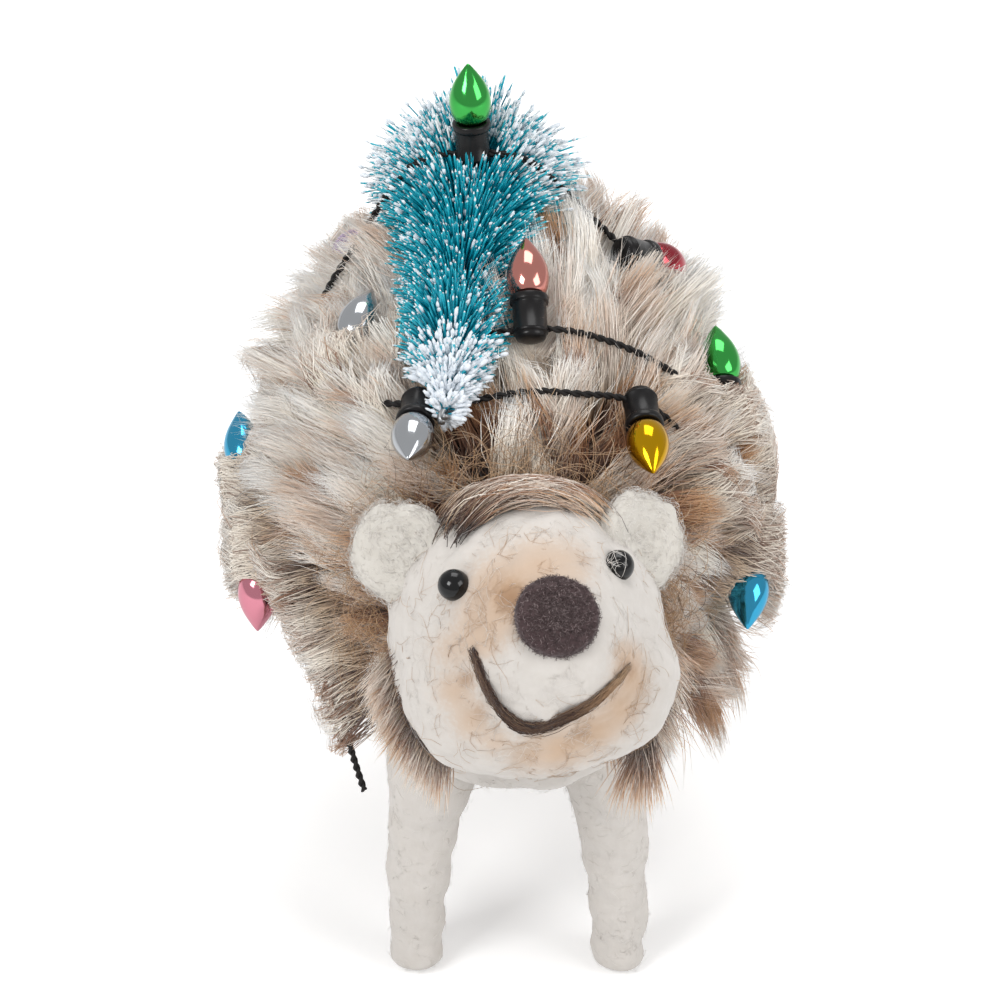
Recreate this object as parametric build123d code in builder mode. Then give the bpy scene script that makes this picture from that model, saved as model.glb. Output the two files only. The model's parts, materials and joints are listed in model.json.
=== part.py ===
from build123d import *
import os
from math import cos, dist, hypot, radians, sin, sqrt, tan

# Hedgehog figurine in millimetres. +Z is up, the face looks towards -Y, and the feet stand on Z = 0.
# The origin is on the table, under the middle of the whole figurine.

# Body: a firm wool core that swells and tapers along Y, inside a pelt whose pile is dense at its foot
core_radius = 30.0
core_front = 43.0
core_rear = 46.0
core_end_radius = 20.0
pelt_thickness = 6.0
body_y = 8.6
body_height = 66.0
hem_drop = 32.0

# Head: a wool ball with a short muzzle, turned to the right and tipped up
head_radius = 21.5
head_x = 3.6
head_y = -43.5
head_lift = 7.5
muzzle_radius = 12.0
muzzle_reach = 16.0
muzzle_blend = 7.0
muzzle_turn_deg = 12.0
muzzle_rise_deg = 36.0

# Ears: dished pads
ear_radius = 7.2
ear_thickness = 4.4
ear_edge = 1.3
ear_dish_depth = 0.9
ear_dish_radius = 4.8
ear_side_share = {-1: 0.80, 1: 0.82}
ear_up_share = {-1: 0.74, 1: 0.61}
ear_depth_share = {-1: 0.03, 1: 0.22}
ear_out_share = 0.45

# Face: bead eyes on pegs, a cut felt nose and a roll of wool for the smile
eye_radius = 2.35
eye_peg_radius = 0.6
eye_peg_length = 5.0
eye_sink = 0.7
eye_side_share = 0.556
eye_up_share = 0.463
nose_radius = 6.4
nose_thickness = 1.6
nose_edge = 0.5
nose_rise_deg = 20.0
smile_radius = 12.6
smile_width = 2.2
smile_height = 0.5
smile_side = 0.9
smile_drop = 0.8

# Chest: a pad of wool under the chin, which the front legs grow from
chest_half_width = 17.0
chest_radius = 12.5
chest_end_radius = 9.0
chest_x = 2.2
chest_y = -31.0
chest_drop = 15.0

# Legs: felted wool over one bent wire for each pair
foot_radius = 3.9
foot_edge = 1.2
shin_radius = 4.4
knee_radius = 5.1
thigh_radius = 6.6
front_foot_y = -28.0
front_left_foot_x = -13.75
front_right_foot_x = 18.3
front_top_y = -29.0
front_left_top_x = -8.8
front_right_top_x = 13.6
rear_foot_y = 34.0
rear_foot_x = 14.5
rear_top_y = 31.0
rear_top_x = 12.0
wire_radius = 0.8
wire_bend_radius = 4.0
wire_end_gap = 4.0

# Bottle-brush tree on the back: its twisted wire, the sleeve of bristle roots and the bristles
tree_length = 62.0
tree_base_radius = 17.5
tree_tip_radius = 2.6
tree_wire_radius = 0.8
tree_stub = 5.0
root_sleeve_radius = 1.5
bristle_radius = 0.3
bristle_count = 380
bristle_pitch = 4.6
bristle_lean_deg = 24.0
shortest_bristle = 1.2
tree_base_lift = 10.8
tree_turn_deg = 4.3
tree_fall_deg = 5.5

# Light string: one cord, with a socket and a bulb at each light
cord_diameter = 1.2
cord_hole_clearance = 0.3
socket_radius = 2.7
socket_wall = 0.65
socket_rim_radius = 2.95
socket_rim_height = 0.9
socket_length = 7.0
socket_floor = 1.4
socket_edge = 0.5
cord_height_in_socket = 1.7
cord_arc_share = 0.45
cord_step = 1.5
bulb_radius = 3.2
bulb_length = 9.6
bulb_fit = 0.05

# Clearances and cuts
rest_gap = 0.3
overrun = 1.0

# Sides of the rounds that are made of flat walls, and of wires and cord
body_sides = 36
limb_sides = 24
light_sides = 10
wire_sides = 6

# Worked out from the sizes above
coat_radius = core_radius + pelt_thickness
coat_front = core_front + pelt_thickness
coat_rear = core_rear + pelt_thickness
body_middle = Vector(0, body_y, body_height)
head_centre = Vector(head_x, head_y, body_height + head_lift)
cord_radius = cord_diameter / 2
cord_lift = bulb_radius + rest_gap


def ringed(rings, sides):
    """A round made of flat walls between rings, each given as its plane and its radius."""
    turns = [radians(360 * side / sides) for side in range(sides)]
    corners = []
    for plane, radius in rings:
        corners.append([plane.from_local_coords(Vector(radius * cos(turn), radius * sin(turn), 0)) for turn in turns])
    walls = [Face(Wire.make_polygon(corners[0])), Face(Wire.make_polygon(corners[-1]))]
    for low, high in zip(corners, corners[1:]):
        for side in range(sides):
            walls.append(Face(Wire.make_polygon([low[side - 1], low[side], high[side], high[side - 1]])))
    return Solid(Shell(walls))


class Swell:
    """A round that swells and tapers along an axis: one long arc each way from its widest place, then a ball end."""

    def __init__(self, middle, way, radius, before, behind, end_radius):
        self.middle = middle
        self.way = way
        self.radius = radius
        self.reaches = (before, behind)
        self.end_radius = end_radius

    def long_radius(self, reach):
        """Radius of the long arc that is level at the widest place and runs into the ball end."""
        ball_out = reach - self.end_radius
        return (self.radius**2 + ball_out**2 - self.end_radius**2) / (2 * (self.radius - self.end_radius))

    def joint(self, reach):
        """Where the long arc meets the ball end: radius and distance from the middle."""
        long_radius = self.long_radius(reach)
        ball_out = reach - self.end_radius
        share = long_radius / (long_radius - self.end_radius)
        return (self.radius - long_radius) * (1 - share), ball_out * share

    def surface(self, along_share):
        """Radius, distance from the middle, and outward direction (radial, along) at a share of the reach."""
        reach = self.reaches[along_share > 0]
        along = abs(along_share) * reach
        if along < self.joint(reach)[1]:
            curve, centre_radius, centre_along = self.long_radius(reach), self.radius - self.long_radius(reach), 0
        else:
            curve, centre_radius, centre_along = self.end_radius, 0, reach - self.end_radius
        rise = sqrt(curve**2 - (along - centre_along) ** 2)
        sign = 1 if along_share > 0 else -1
        return centre_radius + rise, sign * along, rise / curve, sign * (along - centre_along) / curve

    def form(self):
        """The solid of the round, as a profile turned about the axis."""
        across = Plane(self.middle, z_dir=self.way).x_dir
        with BuildPart() as turned:
            with BuildSketch(Plane(self.middle, x_dir=across, z_dir=across.cross(self.way))):
                with BuildLine():
                    for reach, sign in zip(self.reaches, (-1, 1)):
                        joint_radius, joint_along = self.joint(reach)
                        TangentArc((self.radius, 0), (joint_radius, sign * joint_along), tangent=(0, sign))
                        way = Vector(joint_radius, joint_along - reach + self.end_radius)
                        middle_way = (way.normalized() + Vector(0, 1)).normalized() * self.end_radius
                        on_ball = (middle_way.X, sign * (middle_way.Y + reach - self.end_radius))
                        ThreePointArc((joint_radius, sign * joint_along), on_ball, (0, sign * reach))
                    Line((0, -self.reaches[0]), (0, self.reaches[1]))
                make_face()
            revolve(axis=Axis(self.middle, self.way))
        return turned.part

    def banded(self, sides):
        """The solid of the round made of flat walls, with a small flat at each end."""
        across = Plane(self.middle, z_dir=self.way)
        places = [self.surface(share) for share in band_shares]
        return ringed([(across.offset(along), radius) for radius, along, _, _ in places], sides)


# Core, coat and hem: the coat is the core's shape moved out by the pelt
band_shares = (-0.985, -0.92, -0.8, -0.62, -0.4, -0.15, 0.15, 0.4, 0.62, 0.8, 0.92, 0.985)
core = Swell(body_middle, Vector(0, 1, 0), core_radius, core_front, core_rear, core_end_radius)
coat = Swell(body_middle, Vector(0, 1, 0), coat_radius, coat_front, coat_rear, core_end_radius + pelt_thickness)
core_form = core.banded(body_sides)
coat_form = coat.form()
hem_height = body_height - hem_drop


def over_coat(along_share, around_deg, lift):
    """A point over the coat: share of the coat's reach from its middle, degrees from the top, and height over it."""
    radius, along, out, out_along = coat.surface(along_share)
    ring = radius + out * lift
    side, up = sin(radians(around_deg)), cos(radians(around_deg))
    return body_middle + Vector(ring * side, along + out_along * lift, ring * up)


# Head frame: out along the muzzle, and to the head's own right
turn, rise = radians(muzzle_turn_deg), radians(muzzle_rise_deg)
muzzle_axis = Vector(sin(turn) * cos(rise), -cos(turn) * cos(rise), sin(rise))
head_side = Vector(cos(turn), sin(turn), 0)
face_plane = Plane(head_centre, x_dir=head_side, z_dir=muzzle_axis)


def head_form(skin):
    """The head and its muzzle as one round on the muzzle's axis, with its skin moved out by a height."""
    profile_plane = Plane(head_centre, x_dir=head_side, z_dir=head_side.cross(muzzle_axis))
    with BuildPart() as form:
        with BuildSketch(profile_plane) as profile:
            Circle(head_radius + skin)
            with Locations((0, muzzle_reach)):
                Circle(muzzle_radius + skin)
            split(bisect_by=Plane.YZ)
            crease = profile.vertices().filter_by(lambda v: v.X > muzzle_radius / 2 and v.Y > muzzle_radius)
            fillet(crease, radius=muzzle_blend - skin)
        revolve(axis=Axis(head_centre, muzzle_axis))
    return form.part


head_skin = head_form(0)


def on_head(side_share, up_share, depth):
    """A point of the face: shares of the head's radius to its side and up, and a depth along the muzzle."""
    place = Vector(side_share * head_radius, up_share * head_radius, depth)
    return face_plane.from_local_coords(place)


def ball_depth(side_share, up_share):
    """How far out the round of the head lies at a place of the face."""
    return head_radius * sqrt(1 - side_share**2 - up_share**2)


# Eyes
bead_ring_degs = (-80, -60, -40, -20, 0, 20, 40, 60, 80)


def eye_form(side):
    """A bead with its peg, which points at the middle of the head."""
    seat = on_head(side * eye_side_share, eye_up_share, ball_depth(eye_side_share, eye_up_share))
    outward = (seat - head_centre).normalized()
    bead_plane = Plane(seat - outward * eye_sink, z_dir=-outward)
    rings = []
    for ring_deg in bead_ring_degs:
        height, radius = eye_radius * sin(radians(ring_deg)), eye_radius * cos(radians(ring_deg))
        rings.append((bead_plane.offset(height), radius))
    with BuildPart() as form:
        add(ringed(rings, limb_sides))
        with BuildSketch(bead_plane):
            RegularPolygon(eye_peg_radius, side_count=wire_sides)
        extrude(amount=eye_radius + eye_peg_length)
    return form.part


def ear_form(side):
    """A rounded pad that stands on the side of the head, dished on its front."""
    centre = on_head(side * ear_side_share[side], ear_up_share[side], head_radius * ear_depth_share[side])
    facing = face_plane.z_dir + head_side * (side * ear_out_share)
    pad_plane = Plane(centre, z_dir=facing)
    half = ear_thickness / 2
    pad_rings = (
        (-half, ear_radius - ear_edge), (ear_edge - half, ear_radius), (half - ear_edge, ear_radius),
        (half, ear_radius - ear_edge),
    )
    dish_rings = ((half - ear_dish_depth, ear_dish_radius - ear_dish_depth), (half, ear_dish_radius))
    with BuildPart() as form:
        add(ringed([(pad_plane.offset(height), radius) for height, radius in pad_rings], limb_sides))
        dish = ringed([(pad_plane.offset(height), radius) for height, radius in dish_rings], limb_sides)
        add(dish, mode=Mode.SUBTRACT)
    return form.part


# Chest
chest_centre = Vector(chest_x, chest_y, body_height - chest_drop)
chest_reaches = (chest_half_width, chest_half_width)
chest_swell = Swell(chest_centre, Vector(1, 0, 0), chest_radius, *chest_reaches, chest_end_radius)
chest_form = chest_swell.banded(body_sides)

# Legs: the place of each foot and of each leg's top, and the height where it enters the body
legs = {
    "front_left": (front_left_foot_x, front_foot_y, front_left_top_x, front_top_y),
    "front_right": (front_right_foot_x, front_foot_y, front_right_top_x, front_top_y),
    "rear_left": (-rear_foot_x, rear_foot_y, -rear_top_x, rear_top_y),
    "rear_right": (rear_foot_x, rear_foot_y, rear_top_x, rear_top_y),
}
leg_top_height = body_height - core_radius / 2
leg_height_shares = (0, 0.25, 0.55, 0.78, 1)
leg_lean_shares = (0, 0.06, 0.30, 0.62, 1)
leg_radii = (foot_radius, shin_radius, knee_radius, thigh_radius, thigh_radius)


def leg_form(foot_x, foot_y, top_x, top_y):
    """A leg that tapers down to a foot with a flat sole, and leans in towards the body."""
    rings = [(Plane((foot_x, foot_y, 0)), foot_radius - foot_edge)]
    for height_share, lean_share, radius in zip(leg_height_shares, leg_lean_shares, leg_radii):
        x = foot_x + (top_x - foot_x) * lean_share
        y = foot_y + (top_y - foot_y) * lean_share
        rings.append((Plane((x, y, foot_edge + (leg_top_height - foot_edge) * height_share)), radius))
    return ringed(rings, limb_sides)


def leg_wire_form(left, right):
    """One wire bent like a staple: up one leg, across the body and down the other leg."""
    cross_height = leg_top_height - thigh_radius / 2
    points = []
    for foot_x, foot_y, top_x, top_y in (left, right):
        points.append([Vector(foot_x, foot_y, wire_end_gap), Vector(top_x, top_y, cross_height)])
    path = [points[0][0], points[0][1], points[1][1], points[1][0]]
    with BuildPart() as form:
        with BuildLine() as staple:
            FilletPolyline(*path, radius=wire_bend_radius)
        with BuildSketch(Plane(path[0], z_dir=path[1] - path[0])):
            RegularPolygon(wire_radius, side_count=wire_sides)
        sweep(path=staple.line)
    return form.part


front_wire = leg_wire_form(legs["front_left"], legs["front_right"])
rear_wire = leg_wire_form(legs["rear_left"], legs["rear_right"])
leg_forms = {place: leg_form(*size) for place, size in legs.items()}

# Tree frame: its base stands over the rear of the coat, and its tip points at the forehead
tree_along_share = 0.50
tree_around_deg = -6.0
tree_base = over_coat(tree_along_share, tree_around_deg, tree_base_lift)
tree_yaw, tree_fall = radians(tree_turn_deg), radians(tree_fall_deg)
tree_axis = Vector(-sin(tree_yaw) * cos(tree_fall), -cos(tree_yaw) * cos(tree_fall), -sin(tree_fall))
tree_side = Vector(cos(tree_yaw), -sin(tree_yaw), 0)
tree_plane = Plane(tree_base, x_dir=tree_side, z_dir=tree_axis)


def tree_radius(along_share):
    """Radius of the cone of bristle ends, from base to tip."""
    return tree_base_radius + (tree_tip_radius - tree_base_radius) * along_share


def over_tree(along_share, around_deg, sink):
    """A point on the cone of bristle ends: share of the stem from the base, degrees from its right side, and depth."""
    radius = tree_radius(along_share) - sink
    side, up = cos(radians(around_deg)), sin(radians(around_deg))
    return tree_plane.from_local_coords(Vector(radius * side, radius * up, tree_length * along_share))


# Route of the cord. Over the coat a row is along share, degrees from the top and share of the cord's usual lift.
# The loose end hangs at the left of the chest, and the cord climbs the left flank to the front of the back.
front_pass_shares = (
    (-0.55, -148, 3.7), (-0.60, -138, 2.45), (-0.66, -118, 1), (-0.68, -102, 1), (-0.52, -90, 1), (-0.36, -88, 1),
    (-0.20, -92, 1), (-0.19, -101, 1), (-0.12, -110, 1), (0.02, -108, 1), (0.01, -97, 1), (-0.08, -86, 1),
    (-0.16, -62, 1), (-0.32, -44, 1.2), (-0.46, -29, 1.7), (-0.50, -13, 0.9), (-0.475, -3, 0.6), (-0.46, 8, 0.9),
    (-0.45, 19, 1), (-0.41, 29, 1), (-0.38, 41, 1.1),
)
# It turns round on the right flank and comes back under the tree to the left of the back.
middle_pass_shares = (
    (-0.40, 57, 1), (-0.38, 73, 1), (-0.29, 86, 1), (-0.18, 98, 1.1), (-0.09, 106, 1.2), (0.02, 105, 1.5),
    (0.07, 94, 1.6), (0.03, 79, 1.4), (-0.09, 68, 1), (-0.19, 55, 1), (-0.21, 40, 1), (-0.23, 27, 1.1), (-0.255, 13, 1.4),
    (-0.265, -1, 1), (-0.28, -16, 0.8), (-0.28, -34, 1), (-0.17, -47, 1.1), (0.02, -50, 1), (0.20, -45, 1.3),
    (0.31, -33, 2.05),
)
# It goes over the tree near its base: share of the stem, degrees from the right side, and share of the usual lift.
tree_pass_shares = ((0.20, 155, 0.5), (0.195, 122, 0.5), (0.195, 56, 0.1), (0.15, 14, 0.3))
# It comes down on the right, goes round the rear under the tree and down the left flank to its hidden end.
rear_pass_shares = (
    (0.39, 17, 2.0), (0.365, 26, 1.3), (0.21, 35, 1.1), (0.26, 48, 1), (0.48, 56, 1), (0.66, 61, 1),
    (0.82, 56, 1.1), (0.93, 25, 1.9), (0.93, -21, 1.9), (0.70, -56, 1), (0.54, -64, 1), (0.38, -66, 1),
    (0.28, -78, 1), (0.34, -94, 1.1), (0.45, -106, 1.1), (0.38, -118, 1), (0.22, -124, 1), (0.06, -130, 1),
)
route = [over_coat(along, around, cord_lift * lift) for along, around, lift in front_pass_shares]
route += [over_coat(along, around, cord_lift * lift) for along, around, lift in middle_pass_shares]
route += [over_tree(along, around, cord_lift * sink) for along, around, sink in tree_pass_shares]
route += [over_coat(along, around, cord_lift * lift) for along, around, lift in rear_pass_shares]


def corner_radius(before, corner, after):
    """Radius of the arc at a corner of the route: as large as its two runs allow."""
    half_turn = radians((corner - before).get_angle(after - corner)) / 2
    shorter = min((corner - before).length, (after - corner).length)
    return cord_arc_share * shorter / tan(half_turn)


# The cord's middle line, straight runs joined by tangent arcs, and points a small step apart on it
radii = [corner_radius(*corner) for corner in zip(route, route[1:], route[2:])]
with BuildLine() as cord_path:
    FilletPolyline(*route, radius=radii)
cord_line = cord_path.wires()[0]
cord_length = cord_line.length
cord_steps = round(cord_length / cord_step)
cord_points = [cord_line @ (step / cord_steps) for step in range(cord_steps + 1)]

# Lights, from the loose end on: the run of the route that each sits on, and how far its bulb leans round the cord,
# in degrees from straight out
lights = {
    "01": (5, -88), "02": (10, -82), "03": (14, 87), "04": (19, 95), "05": (23, 91), "06": (29, 80), "07": (33, 55),
    "08": (36, 81), "09": (42, -12), "10": (46, -99), "11": (52, 170), "12": (54, -74), "13": (58, -75),
}


def light_seat(run, lean_deg):
    """The plane of a light: at the middle of a run, X along the cord and Z out along the bulb."""
    along = (route[run + 1] - route[run]).normalized()
    middle = (route[run] + route[run + 1]) * 0.5
    on_tree = len(front_pass_shares) + len(middle_pass_shares) <= run < len(route) - len(rear_pass_shares)
    axis_point, axis_way = (tree_base, tree_axis) if on_tree else (body_middle, coat.way)
    outward = middle - axis_point - axis_way * (middle - axis_point).dot(axis_way)
    outward = (outward - along * outward.dot(along)).normalized()
    sideways = along.cross(outward)
    way = outward * cos(radians(lean_deg)) + sideways * sin(radians(lean_deg))
    return Plane(middle, x_dir=along, z_dir=way)


# Socket and bulb, both turned round the light's own Z
mouth = socket_length - cord_height_in_socket
socket_low = -cord_height_in_socket
bore_floor = cord_radius + cord_hole_clearance + socket_floor
bore_radius = socket_radius - socket_wall


def socket_part(seat):
    """A cup with a rim round its mouth, a stepped foot, and the cord's hole across it."""
    with BuildPart() as cup:
        with BuildSketch(seat.offset(socket_low)):
            RegularPolygon(socket_radius, side_count=light_sides)
        extrude(amount=socket_length)
        chamfer(cup.faces().sort_by(Axis(seat.origin, seat.z_dir))[0].edges(), length=socket_edge)
        with BuildSketch(seat.offset(mouth - socket_rim_height)):
            RegularPolygon(socket_rim_radius, side_count=light_sides)
        extrude(amount=socket_rim_height)
        with BuildSketch(seat.offset(bore_floor)):
            RegularPolygon(bore_radius, side_count=light_sides)
        extrude(amount=mouth - bore_floor, mode=Mode.SUBTRACT)
        with BuildSketch(Plane(seat.origin, x_dir=seat.y_dir, z_dir=seat.x_dir)):
            RegularPolygon(cord_radius + cord_hole_clearance, side_count=wire_sides)
        extrude(amount=socket_rim_radius + overrun, both=True, mode=Mode.SUBTRACT)
    return cup.part


# Rings of a bulb, from its neck to its tip: shares of its length and of its radius
bulb_ring_shares = ((0, 0.79), (0.16, 0.95), (0.36, 1), (0.58, 0.86), (0.8, 0.5), (1, 0.06))


def bulb_part(seat):
    """A pointed teardrop on a stem that fills the socket's bore."""
    rings = [(seat.offset(mouth + bulb_length * length), bulb_radius * radius) for length, radius in bulb_ring_shares]
    with BuildPart() as drop:
        add(ringed(rings, light_sides))
        with BuildSketch(seat.offset(bore_floor + bulb_fit)):
            RegularPolygon(bore_radius - bulb_fit, side_count=light_sides)
        extrude(amount=mouth - bore_floor - bulb_fit)
    return drop.part


seats = {number: light_seat(*light) for number, light in lights.items()}


# What the bristles stop at: the coat, the cord and the lights
def gap_to_run(point, start, end):
    """Distance from a point to the straight between two others."""
    run = end - start
    share = max(0, min(1, (point - start).dot(run) / run.dot(run)))
    return (point - start - run * share).length


obstacles = [(start, end, cord_radius) for start, end in zip(cord_points, cord_points[1:])]
for seat in seats.values():
    foot, tip = seat.origin + seat.z_dir * socket_low, seat.origin + seat.z_dir * (mouth + bulb_length)
    obstacles.append((foot, tip, bulb_radius))
tree_middle = tree_base + tree_axis * (tree_length / 2)
tree_reach = hypot(tree_length / 2, tree_base_radius) + bulb_length + socket_length
obstacles = [item for item in obstacles if (item[0] - tree_middle).length < tree_reach]


def is_free(point):
    """True where a bristle may pass: over the coat, and clear of the cord and the lights."""
    place = point - body_middle
    keep_off = rest_gap + bristle_radius
    along_share = place.Y / (coat_front if place.Y < 0 else coat_rear)
    if abs(along_share) < 1:
        radius, _, out, _ = coat.surface(along_share)
        if (hypot(place.X, place.Z) - radius) * out < keep_off:
            return False
    return all(gap_to_run(point, start, end) > radius + keep_off for start, end, radius in obstacles)


bristle_steps = 12
bristle_forms = []
for number in range(bristle_count):
    along_share = (number // 2 + 0.5) / (bristle_count // 2)
    along = tree_length * along_share
    around = 360 * along / bristle_pitch + 180 * (number % 2)
    lean = radians(bristle_lean_deg)
    out = Vector(cos(lean) * cos(radians(around)), cos(lean) * sin(radians(around)), sin(lean))
    root = Vector(out.X, out.Y, 0).normalized() * (tree_wire_radius + root_sleeve_radius) / 2
    start = tree_plane.from_local_coords(root + Vector(0, 0, along))
    way = tree_plane.from_local_coords(out) - tree_base
    longest = tree_radius(along_share) / cos(lean)
    reach = 0
    for step in range(1, bristle_steps + 1):
        if not is_free(start + way * (longest * step / bristle_steps)):
            break
        reach = longest * step / bristle_steps
    if reach < shortest_bristle:
        continue
    with BuildPart() as bristle:
        with BuildSketch(Plane(start, z_dir=way)):
            RegularPolygon(bristle_radius, side_count=3)
        extrude(amount=reach)
    bristle_forms.append(bristle.part)

with BuildPart() as tree_bristles:
    with BuildSketch(tree_plane):
        RegularPolygon(root_sleeve_radius, side_count=wire_sides)
    extrude(amount=tree_length)
    add(bristle_forms)
    with BuildSketch(tree_plane.offset(-overrun)):
        Circle(tree_wire_radius)
    extrude(amount=tree_length + 2 * overrun, mode=Mode.SUBTRACT)
tree_bristles.part.label = "tree_bristles"

with BuildPart() as tree_wire:
    with BuildSketch(tree_plane.offset(-tree_stub)):
        Circle(tree_wire_radius)
    extrude(amount=tree_stub + tree_length)
tree_wire.part.label = "tree_wire"

# Body core, whose belly is bare inside the pelt's hem
with BuildPart() as body_core:
    add(core_form)
    add([front_wire, rear_wire], mode=Mode.SUBTRACT)
body_core.part.label = "body_core"

with BuildPart() as head:
    add(head_skin)
    add(core_form, mode=Mode.SUBTRACT)
    add([eye_form(-1), eye_form(1)], mode=Mode.SUBTRACT)
head.part.label = "head"

with BuildPart() as chest:
    add(chest_form)
    add([core_form, head_skin, front_wire], mode=Mode.SUBTRACT)
chest.part.label = "chest"

with BuildPart() as fur_coat:
    add(coat_form)
    add([core_form, head_skin, chest_form] + list(leg_forms.values()), mode=Mode.SUBTRACT)
    split(bisect_by=Plane.XY.offset(hem_height), keep=Keep.TOP)
fur_coat.part.label = "fur_coat"

pieces = [body_core.part, fur_coat.part, head.part, chest.part, tree_wire.part, tree_bristles.part]

for place, form in leg_forms.items():
    with BuildPart() as leg:
        add(form)
        add([core_form, chest_form, front_wire if "front" in place else rear_wire], mode=Mode.SUBTRACT)
    leg.part.label = f"{place}_leg"
    pieces.append(leg.part)
front_wire.label = "front_leg_wire"
rear_wire.label = "rear_leg_wire"
pieces += [front_wire, rear_wire]

for name, side in (("left", -1), ("right", 1)):
    eye = eye_form(side)
    eye.label = f"{name}_eye"
    with BuildPart() as ear:
        add(ear_form(side))
        add([head_skin, coat_form], mode=Mode.SUBTRACT)
    ear.part.label = f"{name}_ear"
    pieces += [eye, ear.part]

# Nose: a disc cut from felt, laid on the muzzle's tip a little above its axis
nose_rise = radians(nose_rise_deg)
nose_way = face_plane.z_dir * cos(nose_rise) + face_plane.y_dir * sin(nose_rise)
muzzle_tip = head_centre + muzzle_axis * muzzle_reach
with BuildPart() as nose:
    with BuildSketch(Plane(muzzle_tip, z_dir=nose_way)):
        Circle(nose_radius)
    extrude(amount=muzzle_radius + nose_thickness)
    with Locations(muzzle_tip):
        Sphere(muzzle_radius + nose_thickness, mode=Mode.INTERSECT)
    chamfer(nose.faces().sort_by(Axis(muzzle_tip, nose_way))[-1].edges(), length=nose_edge)
    add(head_skin, mode=Mode.SUBTRACT)
nose.part.label = "nose"

# Smile: a crescent of wool that stands a little proud of the muzzle
with BuildPart() as smile:
    with BuildSketch(face_plane) as crescent:
        with Locations((smile_side, -smile_drop)):
            Circle(smile_radius)
        with Locations((smile_side, smile_width - smile_drop)):
            Circle(smile_radius, mode=Mode.SUBTRACT)
    extrude(amount=muzzle_reach + muzzle_radius + overrun)
    add(head_form(smile_height), mode=Mode.INTERSECT)
    add(head_skin, mode=Mode.SUBTRACT)
smile.part.label = "smile"
pieces += [nose.part, smile.part]

# Light cord
with BuildPart() as light_cord:
    with BuildSketch(Plane(route[0], z_dir=route[1] - route[0])) as cord_section:
        RegularPolygon(cord_radius, side_count=wire_sides)
    sweep(path=cord_line)
light_cord.part.label = "light_cord"
pieces.append(light_cord.part)
section_area = cord_section.sketch.area
print(f"cord: {cord_length:.1f} long, {len(radii)} arcs, smallest radius {min(radii):.1f}")
print(f"cord: volume {light_cord.part.volume:.1f}, section times length {section_area * cord_length:.1f}")

for number, seat in seats.items():
    socket = socket_part(seat)
    socket.label = f"socket_{number}"
    bulb = bulb_part(seat)
    bulb.label = f"bulb_{number}"
    pieces += [socket, bulb]

os.makedirs("parts", exist_ok=True)
for piece in pieces:
    export_step(piece, f"parts/{piece.label}.step")

# The least gap of the cord to itself, between points more than four diameters apart along it
spots = [tuple(point) for point in cord_points]
walked = [0]
for before, after in zip(spots, spots[1:]):
    walked.append(walked[-1] + dist(before, after))
places = list(zip(spots, walked))
least = min(dist(a, b) for a, start in places for b, end in places if end - start > 4 * cord_diameter)
print(f"cord: least gap to itself {least - cord_diameter:.2f}; tree: {len(bristle_forms)} bristles")
everything = Compound(children=[Part(piece.wrapped) for piece in pieces]).bounding_box()
print(f"whole: {everything.size}, middle {everything.center()}, lowest {everything.min.Z:.3f}")
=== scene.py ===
"""Looks of the hedgehog figurine: long-pile coat, felted head and legs, brush tree and light string."""
import json
import logging
import math
from dataclasses import dataclass
from enum import Enum
from typing import Callable

import bpy
import numpy as np
from bpy.types import ID, Material, Mesh, Node, NodeSocket, NodeTree, Object, World
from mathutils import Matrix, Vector, kdtree

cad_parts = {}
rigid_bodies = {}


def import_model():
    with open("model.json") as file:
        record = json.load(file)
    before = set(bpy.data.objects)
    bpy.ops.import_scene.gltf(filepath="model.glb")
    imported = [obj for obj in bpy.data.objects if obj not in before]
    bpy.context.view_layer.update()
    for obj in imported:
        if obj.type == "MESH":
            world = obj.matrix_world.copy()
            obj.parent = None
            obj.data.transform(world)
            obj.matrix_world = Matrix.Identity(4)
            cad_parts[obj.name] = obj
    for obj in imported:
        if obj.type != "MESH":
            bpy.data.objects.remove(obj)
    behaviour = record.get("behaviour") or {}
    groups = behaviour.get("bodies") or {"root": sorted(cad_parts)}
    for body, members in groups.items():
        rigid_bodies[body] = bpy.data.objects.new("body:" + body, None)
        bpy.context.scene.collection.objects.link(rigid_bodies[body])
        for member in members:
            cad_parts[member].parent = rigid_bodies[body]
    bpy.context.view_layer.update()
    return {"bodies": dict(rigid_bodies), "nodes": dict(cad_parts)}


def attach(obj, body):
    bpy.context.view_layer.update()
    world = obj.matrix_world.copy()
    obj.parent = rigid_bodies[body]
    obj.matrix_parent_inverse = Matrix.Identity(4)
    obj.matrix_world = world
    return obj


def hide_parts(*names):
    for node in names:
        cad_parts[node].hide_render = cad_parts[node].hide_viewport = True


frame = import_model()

LOG = logging.getLogger("hedgehog")
Array = np.ndarray
Draw = np.random.Generator
MM = 0.001
BODY = "root"
BAKE_MAP = "OFBake"
# Columns of the shade map, one for each shade that a strand can have
SHADE_COLUMNS = 64
WAVE_COUNT = 14
# Middle of the chest's pad, in millimetres
CHEST = (2.2, -31.0, 51.0)
# Points that are drawn on a felted tube for its loose fibres
FIBRE_ROOTS = 24000
QUARTER = math.pi / 2


class Hue(Enum):
    """Platings of the bulbs, with the colour that the metal film has face on."""

    PINK = "D98C9C"
    LIGHT_BLUE = "3FA3CC"
    SILVER = "B9BCC0"
    GOLD = "C99A14"
    GREEN = "44AE52"
    ROSE = "CF8A80"
    RED = "A83A45"
    PURPLE = "9A66AE"


# Small helpers


def unit(vectors: Array) -> Array:
    """Vectors at length one."""
    return vectors / np.maximum(np.linalg.norm(vectors, axis=-1, keepdims=True), 1e-9)


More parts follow.
